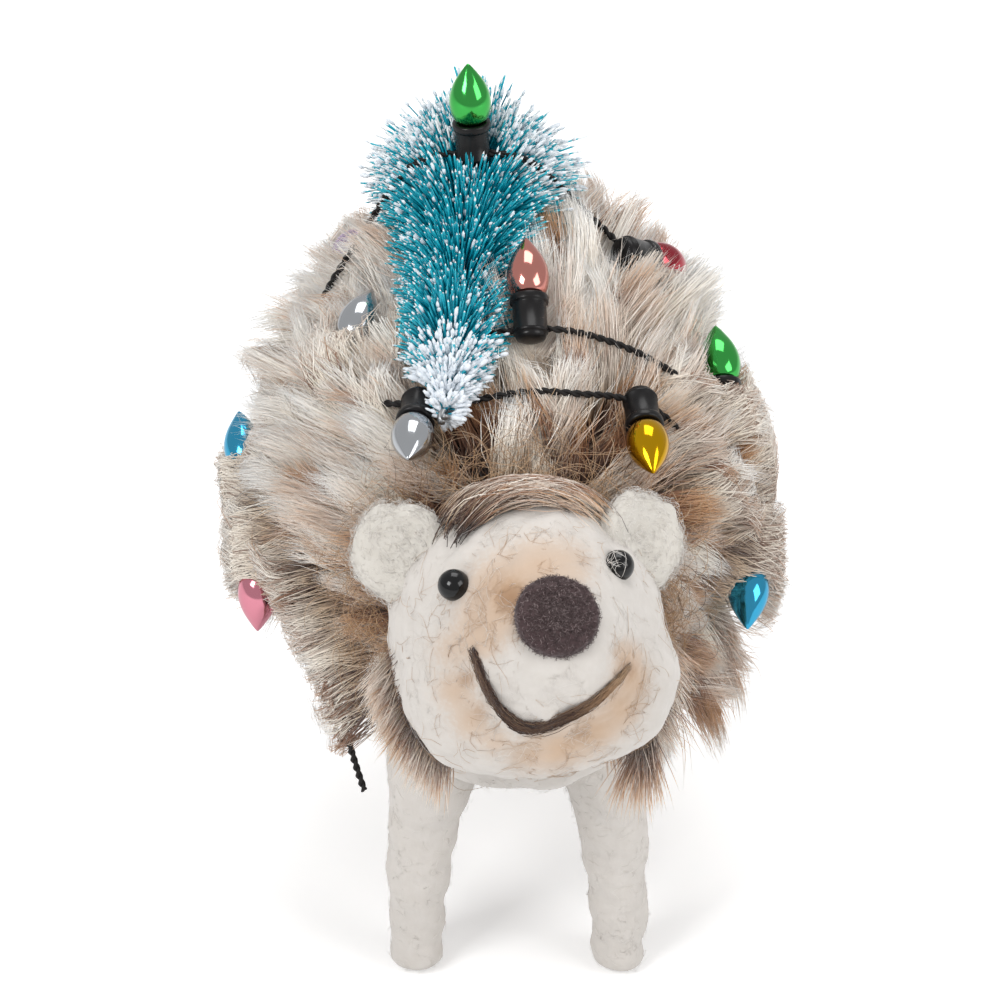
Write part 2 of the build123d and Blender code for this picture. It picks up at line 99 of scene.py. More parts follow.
def linear(hex_colour: str) -> tuple[float, float, float, float]:
    """An sRGB hex colour as linear red, green, blue and alpha."""
    parts = [int(hex_colour[place:place + 2], 16) / 255 for place in (0, 2, 4)]
    return (*(part / 12.92 if part <= 0.04045 else ((part + 0.055) / 1.055) ** 2.4 for part in parts), 1.0)


def ripple(places: Array, size: float, seed: int) -> Array:
    """Soft waves in all directions, about from -1 to 1.

    Args:
        places: Points in millimetres, with three numbers in the last axis.
        size: Length of a wave in millimetres.
        seed: Seed of the waves' ways.

    Returns:
        One number for each point.
    """
    draw = np.random.default_rng(seed)
    ways = unit(draw.normal(size=(WAVE_COUNT, 3))) * draw.uniform(0.6, 1.6, (WAVE_COUNT, 1)) * math.tau / size
    starts = draw.uniform(0, math.tau, WAVE_COUNT)
    total = np.zeros(places.shape[:-1])
    for way, start in zip(ways, starts):
        total += np.sin(places @ way + start)
    return total * math.sqrt(2 / WAVE_COUNT) / 1.6


@dataclass(frozen=True)
class Placing:
    """A place in the row frame with its three ways, in millimetres."""

    origin: Array
    side: Array
    up: Array
    out: Array

    def at(self, local: Array) -> Array:
        """Points given in this placing, as points of the row frame."""
        side, up, out = local[..., :1], local[..., 1:2], local[..., 2:3]
        return self.origin + side * self.side + up * self.up + out * self.out

    def seen(self, places: Array) -> Array:
        """Points of the row frame, as this placing sees them."""
        return (places - self.origin) @ np.stack([self.side, self.up, self.out], axis=-1)


def placing(origin: Array, out: Array, side: Array) -> Placing:
    """A placing that looks along a way.

    Args:
        origin: Its place.
        out: The way that it looks along.
        side: About its side, which is made square to out.

    Returns:
        The placing.
    """
    out = unit(np.asarray(out, float))
    side = np.asarray(side, float)
    side = unit(side - out * (side @ out))
    return Placing(np.asarray(origin, float), side, np.cross(out, side), out)


def ring_of(sides: int) -> Array:
    """Points evenly round a ring of radius one, as side, up and out."""
    turns = np.arange(sides) * math.tau / sides
    return np.stack([np.cos(turns), np.sin(turns), turns * 0], -1)


def spokes_of(across: Array, over: Array, sides: int) -> Array:
    """Ways from a line's points to the rings round them, given two ways square to the line."""
    ring = ring_of(sides)
    return across[..., None, :] * ring[:, :1] + over[..., None, :] * ring[:, 1:2]


def walked_along(line: Array) -> Array:
    """How far along a line each of its points lies."""
    return np.concatenate([[0], np.cumsum(np.linalg.norm(np.diff(line, axis=0), axis=1))])


def evened(values: Array, width: int) -> Array:
    """A row of numbers, each made the mean of those round it, with the ends held."""
    return np.convolve(np.pad(values, width // 2, mode="edge"), np.ones(width) / width, mode="valid")


# Meshes


def mesh_of(places: Array, quads: Array, triangles: Array, corner_maps: Array | None = None) -> Mesh:
    """A mesh from arrays.

    Args:
        places: Its points in millimetres.
        quads: Four point numbers for each four-sided face.
        triangles: Three point numbers for each triangle.
        corner_maps: Place on the shade map for each face corner, quads first.

    Returns:
        The mesh, smooth shaded, in metres.
    """
    mesh = bpy.data.meshes.new("piece")
    corners = np.concatenate([quads.ravel(), triangles.ravel()]).astype(np.int32)
    starts = np.concatenate([np.arange(len(quads)) * 4, len(quads) * 4 + np.arange(len(triangles)) * 3])
    mesh.vertices.add(len(places))
    mesh.vertices.foreach_set("co", (places * MM).astype(np.float32).ravel())
    mesh.loops.add(len(corners))
    mesh.loops.foreach_set("vertex_index", corners)
    mesh.polygons.add(len(starts))
    mesh.polygons.foreach_set("loop_start", starts.astype(np.int32))
    mesh.polygons.foreach_set("use_smooth", np.ones(len(starts), bool))
    if corner_maps is not None:
        layer = mesh.uv_layers.new(name=BAKE_MAP)
        layer.data.foreach_set("uv", corner_maps.astype(np.float32).ravel())
    mesh.update(calc_edges=True)
    return mesh


@dataclass
class Tube:
    """Rings of points one after the other, with a point that closes each end."""

    rings: Array
    first: Array
    last: Array

    def lumped(self, ways: Array, lumps: Array) -> "Tube":
        """The tube with each ring point moved along its own way."""
        return Tube(self.rings + ways * lumps[..., None], self.first, self.last)


def tube_mesh(tubes: list[Tube]) -> Mesh:
    """One mesh of closed tubes.

    Args:
        tubes: The tubes, whose rings turn to the left as seen from their end.

    Returns:
        The mesh.
    """
    places, quads, triangles, offset = [], [], [], 0
    for tube in tubes:
        count, sides = tube.rings.shape[:2]
        places += [tube.rings.reshape(-1, 3), tube.first[None], tube.last[None]]
        here = np.arange(sides)
        after = (here + 1) % sides
        rows = (np.arange(count - 1) * sides)[:, None] + offset
        corners = [rows + here, rows + after, rows + after + sides, rows + here + sides]
        quads.append(np.stack(corners, -1).reshape(-1, 4))
        first, last = offset + count * sides, offset + count * sides + 1
        end = offset + (count - 1) * sides
        triangles.append(np.stack([offset + after, offset + here, np.full(sides, first)], -1))
        triangles.append(np.stack([end + here, end + after, np.full(sides, last)], -1))
        offset += count * sides + 2
    return mesh_of(np.concatenate(places), np.concatenate(quads), np.concatenate(triangles))


def turned(seat: Placing, profile: Array, sides: int) -> Tube:
    """A profile turned round a placing's own axis.

    Args:
        seat: The placing, whose out is the axis.
        profile: Radius and height for each ring, from low to high; the first and last close the ends.
        sides: Points in each ring.

    Returns:
        The tube of its rings.
    """
    local = np.zeros((len(profile), sides, 3))
    local[..., :2] = profile[:, None, :1] * ring_of(sides)[:, :2]
    local[..., 2] = profile[:, None, 1]
    first = seat.at(np.array([0, 0, profile[0, 1]]))
    last = seat.at(np.array([0, 0, profile[-1, 1]]))
    return Tube(seat.at(local), first, last)


def smooth_profile(corners: Array | tuple[tuple[float, float], ...], steps: int) -> Array:
    """A soft curve through given corners of a profile.

    Args:
        corners: Radius and height of each corner.
        steps: How many points the curve gets.

    Returns:
        The points, evenly spread along the curve.
    """
    given = np.array(corners, float)
    walked = walked_along(given)
    wanted = np.linspace(0, walked[-1], steps)
    slopes = np.gradient(given, walked, axis=0)
    found = np.clip(np.searchsorted(walked, wanted, side="right") - 1, 0, len(given) - 2)
    span = (walked[found + 1] - walked[found])[:, None]
    share = (wanted - walked[found])[:, None] / span
    # Cubic steps between corners, each with the slope that its neighbours give it
    return (
        given[found] * (1 + 2 * share) * (1 - share) ** 2 + slopes[found] * span * share * (1 - share) ** 2
        + given[found + 1] * share**2 * (3 - 2 * share) + slopes[found + 1] * span * share**2 * (share - 1)
    )


def strand_mesh(lines: Array, radii: Array, shades: Array) -> Mesh:
    """One mesh of many three-sided strands that end in a point.

    Args:
        lines: Middle line of each strand, as strand, step and place.
        radii: Radius at each step of each strand.
        shades: From 0 to 1 for each strand, its column on the shade map.

    Returns:
        The mesh, whose shade map has the strand's shade across and root to tip up.
    """
    count, steps = lines.shape[:2]
    ways = unit(np.gradient(lines, axis=1))
    helper = np.where(np.abs(ways[:, :1, 2:3]) < 0.8, np.array([0.0, 0, 1]), np.array([1.0, 0, 0]))
    across = unit(np.cross(ways, helper))
    spokes = spokes_of(across, np.cross(ways, across), 3)
    rings = lines[:, :-1, None] + radii[:, :-1, None, None] * spokes[:, :-1]
    places = np.concatenate([rings.reshape(count, -1, 3), lines[:, -1:]], axis=1).reshape(-1, 3)
    quad_rows, quad_maps = [], []
    along = [step / (steps - 1) for step in range(steps)]
    for step in range(steps - 2):
        low, high = along[step:step + 2]
        for side in range(3):
            after = (side + 1) % 3
            quad_rows.append([step * 3 + side, step * 3 + after, step * 3 + 3 + after, step * 3 + 3 + side])
            quad_maps.append([[0.1, low], [0.9, low], [0.9, high], [0.1, high]])
    last = (steps - 2) * 3
    triangle_rows, triangle_maps = [[0, 2, 1]], [[[0.1, 0], [0.9, 0], [0.5, 0.02]]]
    for side in range(3):
        triangle_rows.append([last + side, last + (side + 1) % 3, last + 3])
        triangle_maps.append([[0.1, along[-2]], [0.9, along[-2]], [0.5, 1.0]])
    offsets = (np.arange(count) * ((steps - 1) * 3 + 1))[:, None, None]
    quads = (np.array(quad_rows)[None] + offsets).reshape(-1, 4)
    triangles = (np.array(triangle_rows)[None] + offsets).reshape(-1, 3)
    columns = np.clip((shades * SHADE_COLUMNS).astype(int), 0, SHADE_COLUMNS - 1)
    maps = []
    for part in (np.array(quad_maps), np.array(triangle_maps)):
        spread = np.repeat(part.reshape(1, -1, 2), count, axis=0)
        spread[..., 0] = (spread[..., 0] + columns[:, None]) / SHADE_COLUMNS
        maps.append(spread.reshape(-1, 2))
    return mesh_of(places, quads, triangles, np.concatenate(maps))


def add_object(name: str, data: ID) -> Object:
    """Puts an object of some data into the scene.

    Args:
        name: The name of the object and its data.
        data: Its mesh, curve, camera or lamp.

    Returns:
        The object.
    """
    data.name = name
    item = bpy.data.objects.new(name, data)
    bpy.context.scene.collection.objects.link(item)
    return item


def add_piece(
    name: str, mesh: Mesh, finish: "Finish", nodes: tuple[str, ...] = (), material: Material | None = None,
) -> Object:
    """A piece of the figurine, dressed and riding on its body.

    Args:
        name: The piece's name.
        mesh: Its mesh.
        finish: Its finish.
        nodes: The CAD nodes that it replaces.
        material: The finish's material, where it is already built.

    Returns:
        The piece.
    """
    item = add_object(name, mesh)
    mesh.materials.append(material or finish.build())
    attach(item, BODY)
    if nodes:
        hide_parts(*nodes)
    LOG.info("%s: %d faces for %s", name, len(mesh.polygons), ", ".join(nodes) or "looks alone")
    return item


# Finishes


def empty_tree(block: Material | World) -> NodeTree:
    """The node tree of a new material or world, with nothing in it.

    Args:
        block: The material or world.

    Returns:
        Its node tree.
    """
    block.use_nodes = True
    block.node_tree.nodes.clear()
    return block.node_tree


def add_node(
    tree: NodeTree, kind: str, settings: dict | None = None, values: dict | None = None,
    links: dict | None = None,
) -> Node:
    """Adds a node with its settings, the values of its sockets and the links into them.

    Args:
        tree: The node tree.
        kind: The node's type.
        settings: Property names and values.
        values: Socket names or numbers, and their values.
        links: Socket names or numbers, and the output that each takes.

    Returns:
        The node.
    """
    item = tree.nodes.new(kind)
    for name, value in (settings or {}).items():
        setattr(item, name, value)
    for name, value in (values or {}).items():
        item.inputs[name].default_value = value
    for name, source in (links or {}).items():
        tree.links.new(source, item.inputs[name])
    return item


def add_ramp(tree: NodeTree, source: NodeSocket, stops: tuple[tuple[float, str], ...]) -> NodeSocket:
    """A colour ramp.

    Args:
        tree: The node tree.
        source: The output that picks the place on the ramp.
        stops: Place and sRGB hex colour of each stop.

    Returns:
        The ramp's colour output.
    """
    ramp = add_node(tree, "ShaderNodeValToRGB", links={"Fac": source})
    elements = ramp.color_ramp.elements
    while len(elements) < len(stops):
        elements.new(0.5)
    for element, (place, colour) in zip(elements, stops):
        element.position = place
        element.color = linear(colour)
    return ramp.outputs["Color"]


@dataclass(frozen=True)
class Finish:
    """What every finish has: a name, the record's slot, and the shader's own numbers."""

    name: str
    slot: str
    roughness: float = 0.5
    metallic: float = 0.0
    sheen: float = 0.0
    specular: float = 0.5

    def start(self) -> tuple[Material, NodeTree, Node]:
        """A new material with an output and a Principled shader.

        Returns:
            The material, its node tree and the shader node.
        """
        material = bpy.data.materials.new(self.name)
        tree = empty_tree(material)
        numbers = {
            "Roughness": self.roughness, "Metallic": self.metallic, "Sheen Weight": self.sheen,
            "Specular IOR Level": self.specular,
        }
        shader = add_node(tree, "ShaderNodeBsdfPrincipled", values=numbers)
        add_node(tree, "ShaderNodeOutputMaterial", links={"Surface": shader.outputs["BSDF"]})
        return material, tree, shader

    def build(self) -> Material:
        """The material, which each kind of finish makes in its own way."""
        raise NotImplementedError

    def patches(self, tree: NodeTree, size: float, detail: float = 3.0) -> NodeSocket:
        """Soft patches in the piece's own space.

        Args:
            tree: The node tree.
            size: The patches' size in millimetres.
            detail: How many finer layers they have.

        Returns:
            The output that tells them, from 0 to 1.
        """
        place = add_node(tree, "ShaderNodeTexCoord").outputs["Object"]
        values = {"Scale": 1 / (size * MM), "Detail": detail, "Roughness": 0.6}
        return add_node(tree, "ShaderNodeTexNoise", values=values, links={"Vector": place}).outputs["Fac"]

    def mixed(
        self, tree: NodeTree, share: NodeSocket, first: str | NodeSocket, second: str | NodeSocket,
    ) -> NodeSocket:
        """Two colours mixed.

        Args:
            tree: The node tree.
            share: The output that gives the share of the second colour.
            first: The first colour, as sRGB hex or an output.
            second: The second colour, as sRGB hex or an output.

        Returns:
            The mixed colour's output.
        """
        mix = add_node(tree, "ShaderNodeMix", {"data_type": "RGBA"}, links={"Factor": share})
        for socket, colour in ((6, first), (7, second)):
            if isinstance(colour, str):
                mix.inputs[socket].default_value = linear(colour)
            else:
                tree.links.new(colour, mix.inputs[socket])
        return mix.outputs[2]

    def bumped(self, tree: NodeTree, shader: Node, height: NodeSocket, depth: float, strength: float) -> None:
        """Gives the shader a bump.

        Args:
            tree: The node tree.
            shader: The shader.
            height: The output that gives the height.
            depth: How deep the bump is, in millimetres.
            strength: How much of it shows.
        """
        values = {"Strength": strength, "Distance": depth * MM}
        bump = add_node(tree, "ShaderNodeBump", values=values, links={"Height": height})
        tree.links.new(bump.outputs["Normal"], shader.inputs["Normal"])

    def on_map(self, tree: NodeTree) -> tuple[NodeSocket, NodeSocket]:
        """The outputs of a strand's shade and of its share from root to tip, read from its shade map."""
        place = add_node(tree, "ShaderNodeUVMap", {"uv_map": BAKE_MAP}).outputs["UV"]
        return tuple(add_node(tree, "ShaderNodeSeparateXYZ", links={"Vector": place}).outputs[:2])


@dataclass(frozen=True)
class StrandFinish(Finish):
    """Strands that change from root to tip between two ramps: dye, plus painted shade at pile and bristle
    roots.
    """

    first: tuple[tuple[float, str], ...] = ()
    second: tuple[tuple[float, str], ...] = ()
    # How much further towards the tip's colour a strand of full shade starts
    shift: float = 0.0

    def build(self) -> Material:
        """Makes the material, which reads the strands' shade map.

        Returns:
            The material.
        """
        material, tree, shader = self.start()
        shade, along = self.on_map(tree)
        if self.shift:
            moved = add_node(
                tree, "ShaderNodeMath", {"operation": "MULTIPLY_ADD"}, {1: self.shift}, {0: shade, 2: along},
            )
            along = moved.outputs[0]
        first, second = add_ramp(tree, along, self.first), add_ramp(tree, along, self.second)
        colour = self.mixed(tree, shade, first, second)
        tree.links.new(colour, shader.inputs["Base Color"])
        return material


@dataclass(frozen=True)
class FeltFinish(Finish):
    """Matted wool: no shine, a soft pale edge, patches of thicker and thinner wool and fine matted fibres."""

    colour: str = "F0EEEA"
    second: str = "E2DED6"
    patch_size: float = 2.6
    fibre_size: float = 0.28
    fibre_depth: float = 0.14
    tint: str = ""
    tint_deep: str = ""
    # How far a stain frays into its fibres, and from where to where its edge runs
    fray: float = 1.15
    stain_edge: tuple[float, float] = (0.58, 1.12)

    def build(self) -> Material:
        """Makes the material, whose tints show where the mesh's own tint layers say so.

        Returns:
            The material.
        """
        material, tree, shader = self.start()
        patches = self.patches(tree, self.patch_size)
        colour = self.mixed(tree, patches, self.colour, self.second)
        if self.tint:
            fine = self.patches(tree, 0.7, 4.0)
            for layer, dye in (("tint", self.tint), ("deep_tint", self.tint_deep)):
                place = add_node(tree, "ShaderNodeAttribute", {"attribute_name": layer}).outputs["Fac"]
                broken = add_node(
                    tree, "ShaderNodeMath", {"operation": "MULTIPLY_ADD"}, {1: self.fray},
                    {0: fine, 2: place},
                )
                low, high = self.stain_edge
                sharp = add_node(
                    tree, "ShaderNodeMapRange", values={"From Min": low, "From Max": high},
                    links={"Value": broken.outputs[0]},
                )
                share = add_node(
                    tree, "ShaderNodeMath", {"operation": "MULTIPLY", "use_clamp": True},
                    links={0: sharp.outputs["Result"], 1: place},
                )
                colour = self.mixed(tree, share.outputs[0], colour, dye)
        tree.links.new(colour, shader.inputs["Base Color"])
        self.bumped(tree, shader, self.patches(tree, self.fibre_size, 4.0), self.fibre_depth, 0.7)
        return material


@dataclass(frozen=True)
class PlatedFinish(Finish):
    """Moulded plastic with a vacuum-plated and tinted metal film: a sharp mirror with the tint in it."""

    hue: Hue = Hue.SILVER
    haze: float = 0.09

    def build(self) -> Material:
        """Makes the material, with the slight haze of handling in its roughness.

        Returns:
            The material.
        """
        material, tree, shader = self.start()
        shader.inputs["Base Color"].default_value = linear(self.hue.value)
        values = {"To Min": self.roughness, "To Max": self.roughness + self.haze}
        dulled = add_node(tree, "ShaderNodeMapRange", values=values, links={"Value": self.patches(tree, 1.8)})
        tree.links.new(dulled.outputs["Result"], shader.inputs["Roughness"])
        self.bumped(tree, shader, self.patches(tree, 3.0, 1.0), 0.05, 0.25)
        return material


@dataclass(frozen=True)
class GlossFinish(Finish):
    """A smooth dark surface, moulded or of glass, with fine scuffs that only the gloss shows."""

    colour: str = "141213"
    scuff: str = "2A2728"
    scuff_size: float = 1.2
    wear: float = 0.2

    def build(self) -> Material:
        """Makes the material, whose scuffs lift the colour and the roughness a little.

        Returns:
            The material.
        """
        material, tree, shader = self.start()
        patches = self.patches(tree, self.scuff_size, 5.0)
        tree.links.new(self.mixed(tree, patches, self.colour, self.scuff), shader.inputs["Base Color"])
        values = {"To Min": self.roughness, "To Max": self.roughness + self.wear}
        worn = add_node(tree, "ShaderNodeMapRange", values=values, links={"Value": patches})
        tree.links.new(worn.outputs["Result"], shader.inputs["Roughness"])
        return material


# Faux fur: modacrylic pile dyed in the roll, tips bleached, soft shine; dark roots, part dye, part painted
# shade between locks
PALE_PILE = ((0.0, "4A2F1E"), (0.14, "91694A"), (0.27, "DFC6A9"), (0.43, "FCF2E3"), (1.0, "FFFFFE"))
BROWN_PILE = ((0.0, "1E0F08"), (0.3, "522E19"), (0.56, "925D32"), (0.79, "D0A070"), (1.0, "F8E6CC"))
PILE = StrandFinish("long_pile_fur_dye_and_painted_shade", "long_pile_fur", 0.6, sheen=0.5, first=PALE_PILE, second=BROWN_PILE)
# Pelt backing: polyester knitted in half-millimetre stitches, dull, with the dark feet of the pile in it
PELT = FeltFinish(
    "fur_backing_knitted", "long_pile_fur", 0.95, colour="6E4F3A", second="553A29", fibre_size=0.5,
)
# White wool: needle-felted, chalky with a soft pale edge, stained with tan wool where the tint layers say so.
# Its fibres are about 0.03 mm thick, too fine to show, so the bump is drawn in strands of 0.28 mm
WOOL = FeltFinish(
    "white_wool_felted", "white_wool", 0.95, sheen=0.25, colour="D2CDC8", second="C4BEB7", tint="C0A58C",
    tint_deep="9E7B5C", fibre_depth=0.045,
)
EAR_WOOL = FeltFinish(
    "ear_wool_felted", "white_wool", 0.95, sheen=0.3, colour="D5D1CA", second="CAC5BC", fibre_depth=0.06,
)
# Brown wool: rolled between the fingers and felted on, dark and dull
BROWN_WOOL = FeltFinish("brown_wool_rolled", "brown_wool", 0.95, sheen=0.1, colour="48302A", second="2B1A15")
# Core wool: undyed and felted hard, a warmer and duller white
CORE_WOOL = FeltFinish("core_wool_felted", "white_wool", 0.95, sheen=0.2, colour="D9CDBD", second="BDAE9A")
# Loose wool fibres: too fine to show at their real 0.03 mm, so drawn about 0.05 to 0.1 mm thick
WHITE_FIBRE = StrandFinish(
    "white_wool_fibre", "white_wool", 0.8, sheen=0.3,
    first=((0, "D9D5D1"), (1, "E2DFDB")), second=((0, "C2AC94"), (1, "D2C4B3")),
)
BROWN_FIBRE = StrandFinish(
    "brown_wool_fibre", "brown_wool", 0.8, sheen=0.2,
    first=((0, "AC835C"), (1, "CCAD8A")), second=((0, "33201A"), (1, "503429")),
)
# Nose: craft felt cut to a disc, aubergine brown with pale stray fibres, no shine
NOSE_FELT = FeltFinish(
    "nose_felt_cut", "nose_felt", 0.95, sheen=0.25, colour="38282A", second="4E3C3D", patch_size=0.5,
    fibre_size=0.3,
)
NOSE_FIBRE = StrandFinish(
    "nose_felt_fibre", "nose_felt", 0.85, first=((0, "3A2B2C"), (1, "483838")),
    second=((0, "8D7C7C"), (1, "AD9D9C")),
)
# Bead: black pressed glass, fire polished, so its highlights are small and sharp
BEAD = GlossFinish("black_glass_bead", "black_bead", 0.04, specular=0.4, colour="050506", scuff="0B0B0C")
# Socket: black ABS, gloss moulded, a little scuffed
SOCKET = GlossFinish("black_abs_moulded", "socket_black", 0.2, specular=0.28, colour="0D0C0D", scuff="171516")
# Cord: black polyester, two plies twisted, with the low shine of filament yarn
CORD = GlossFinish(
    "black_cord_twisted", "black_cord", 0.5, specular=0.25, colour="100E0F", scuff="252221", scuff_size=0.35,
)
# Tree wire: galvanised steel, drawn and twisted
WIRE = GlossFinish(
    "steel_wire_drawn", "wire", 0.35, metallic=1.0, colour="8E9092", scuff="A9ABAD", scuff_size=0.6,
)
# Bristles: teal nylon monofilament, glossy, with white flock glued to the ends; the dark teal near the wire
# is painted shade
BRISTLE = StrandFinish(
    "teal_nylon_bristle", "tree_bristle", 0.35,
    first=((0, "033C58"), (0.35, "03809A"), (0.75, "06A0B4"), (0.97, "1BB0C0"), (1.0, "F2F7FA")),
    second=((0, "044666"), (0.35, "068FAE"), (0.75, "12AEC6"), (0.97, "35BFD0"), (1.0, "F6FAFC")), shift=0.35,
)
# Flock: short white fibre blown on wet glue, bright and matt
SNOW = FeltFinish(
    "white_flock", "tree_bristle", 0.9, colour="F3F6FA", second="DCE5EE", patch_size=0.6, fibre_size=0.2,
)


# Shapes that part.py and this file share


@dataclass(frozen=True)
class CoatForm:
    """The round of the coat: one long arc each way from its widest place, then a ball end."""

    radius: float = 36.0
    front: float = 49.0
    rear: float = 52.0
    end_radius: float = 26.0
    middle_y: float = 8.6
    middle_z: float = 66.0

    @property
    def middle(self) -> Array:
        """The middle of the coat."""
        return np.array([0.0, self.middle_y, self.middle_z])

    def surface(self, share: Array) -> tuple[Array, Array, Array, Array]:
        """Reads the coat's round.

        Args:
            share: Shares of the reach, from -1 at the front to 1 at the rear.

        Returns:
            Radius, distance along, and the outward way's parts across and along.
        """
        share = np.asarray(share, float)
        reach = np.where(share > 0, self.rear, self.front)
        ball_out = reach - self.end_radius
        long = (self.radius**2 + ball_out**2 - self.end_radius**2) / (2 * (self.radius - self.end_radius))
        along = np.abs(share) * reach
        on_long = along < ball_out * long / (long - self.end_radius)
        curve = np.where(on_long, long, self.end_radius)
        centre_radius = np.where(on_long, self.radius - long, 0)
        centre_along = np.where(on_long, 0, ball_out)
        rise = np.sqrt(np.maximum(curve**2 - (along - centre_along) ** 2, 0))
        sign = np.where(share > 0, 1, -1)
        return centre_radius + rise, sign * along, rise / curve, sign * (along - centre_along) / curve

    def over(self, share: Array, around_deg: Array, lift: Array) -> Array:
        """Points over the coat.

        Args:
            share: Shares of its reach.
            around_deg: Degrees from the top.
            lift: Heights over it.

        Returns:
            The points.
        """
        radius, along, out, out_along = self.surface(share)
        ring = radius + out * lift
        turn = np.radians(around_deg)
        local = [ring * np.sin(turn), along + out_along * lift, ring * np.cos(turn)]
        return self.middle + np.stack(local, -1)

    def outward(self, share: Array, around_deg: Array) -> Array:
        """The way straight out of the coat.

        Args:
            share: Shares of its reach.
            around_deg: Degrees from the top.

        Returns:
            One way for each place.
        """
        _, _, out, out_along = self.surface(share)
        turn = np.radians(around_deg)
        return np.stack([out * np.sin(turn), out_along + turn * 0, out * np.cos(turn)], -1)

    def share_at(self, here: Array, most: float) -> Array:
        """Shares of the reach at places seen from the middle, held within a most."""
        return np.clip(here[..., 1] / np.where(here[..., 1] > 0, self.rear, self.front), -most, most)

    def height(self, places: Array) -> Array:
        """How far points lie over the coat.

        Args:
            places: The points.

        Returns:
            One height for each; negative inside.
        """
        here = places - self.middle
        share = self.share_at(here, 0.999)
        radius, along, out, out_along = self.surface(share)
        ring = np.hypot(here[..., 0], here[..., 2])
        return (ring - radius) * out + (here[..., 1] - along) * out_along


@dataclass(frozen=True)
class TreeForm:
    """The bottle-brush tree's place and cone."""

    coat: CoatForm
    length: float = 62.0
    base_radius: float = 17.5
    tip_radius: float = 2.6
    base_lift: float = 10.8
    along_share: float = 0.50
    around_deg: float = -6.0
    turn_deg: float = 4.3
    fall_deg: float = 5.5

    @property
    def seat(self) -> Placing:
        """The tree's base.

        Returns:
            The placing there, looking along the stem towards the tip.
        """
        yaw, fall = math.radians(self.turn_deg), math.radians(self.fall_deg)
        axis = [-math.sin(yaw) * math.cos(fall), -math.cos(yaw) * math.cos(fall), -math.sin(fall)]
        side = [math.cos(yaw), -math.sin(yaw), 0]
        return placing(self.coat.over(self.along_share, self.around_deg, self.base_lift), axis, side)

    def radius(self, share: Array) -> Array:
        """Radius of the bristle ends at shares of the stem."""
        return self.base_radius + (self.tip_radius - self.base_radius) * share

    def over(self, share: float, around_deg: float, sink: float) -> Array:
        """A point on the cone of bristle ends.

        Args:
            share: Share of the stem.
            around_deg: Degrees round the stem.
            sink: How deep it lies inside the cone.

        Returns:
            The point.
        """
        radius = self.radius(share) - sink
        turn = math.radians(around_deg)
        return self.seat.at(np.array([radius * math.cos(turn), radius * math.sin(turn), self.length * share]))


@dataclass(frozen=True)
class HeadForm:
    """The head's frame and its soft round, made of balls that run into each other."""

    centre: tuple[float, float, float] = (3.6, -43.5, 73.5)
    radius: float = 21.5
    muzzle_radius: float = 12.0
    muzzle_reach: float = 16.0
    turn_deg: float = 12.0
    rise_deg: float = 36.0
    blend: float = 1.6
    # The wool's ball, which the coat covers at the top, and its lumps: side, up, out and radius
    wool_ball: tuple[float, float, float, float] = (0.0, 1.5, 0.0, 20.4)
    lumps: tuple[tuple[float, float, float, float], ...] = (
        (-9.5, -7.0, 6.5, 10.3), (10.0, -7.0, 6.0, 10.3), (0.5, -9.0, 6.5, 9.6), (0.0, 7.0, 8.0, 11.5),
    )

    @property
    def face(self) -> Placing:
        """The head's middle.

        Returns:
            The placing there, looking out along the muzzle.
        """
        turn, rise = math.radians(self.turn_deg), math.radians(self.rise_deg)
        axis = [math.sin(turn) * math.cos(rise), -math.cos(turn) * math.cos(rise), math.sin(rise)]
        return placing(np.array(self.centre), axis, [math.cos(turn), math.sin(turn), 0])

    def gap(self, places: Array) -> Array:
        """How far points lie outside the wool.

        Args:
            places: The points.

        Returns:
            One distance for each; negative inside.
        """
        here = self.face.seen(places)
        balls = (self.wool_ball, (0, 0, self.muzzle_reach, self.muzzle_radius), *self.lumps)
        total = 0
        for side, up, out, radius in balls:
            far = np.linalg.norm(here - np.array([side, up, out], float), axis=-1) - radius
            total = total + np.exp(np.clip(-far / self.blend, -40, 40))
        return -self.blend * np.log(np.maximum(total, 1e-18))

    def outward(self, places: Array) -> Array:
        """The way straight out of the wool.

        Args:
            places: Points near it.

        Returns:
            One way for each.
        """
        step = 0.05
        slopes = [self.gap(places + step * way) - self.gap(places - step * way) for way in np.eye(3)]
        return unit(np.stack(slopes, -1))

    def pushed(self, places: Array, height: float | Array) -> Array:
        """Points moved straight in or out of the wool.

        Args:
            places: The points.
            height: The height over the wool that they get.

        Returns:
            The moved points.
        """
        for _ in range(4):
            places = places + self.outward(places) * (height - self.gap(places))[..., None]
        return places

    def on_face(self, side: Array, up: Array, height: float | Array) -> Array:
        """Points over the wool, straight out from places on the face plane.

        Args:
            side: How far each place lies to the side.
            up: How far it lies up.
            height: The points' height over the wool.

        Returns:
            The points.
        """
        side, up = np.broadcast_arrays(np.asarray(side, float), np.asarray(up, float))
        out = np.full(side.shape, self.muzzle_reach + self.muzzle_radius + 8)
        for _ in range(60):
            here = self.face.at(np.stack([side, up, out], -1))
            out = out - (self.gap(here) - height) * 0.8
        return self.face.at(np.stack([side, up, out], -1))


# Studio


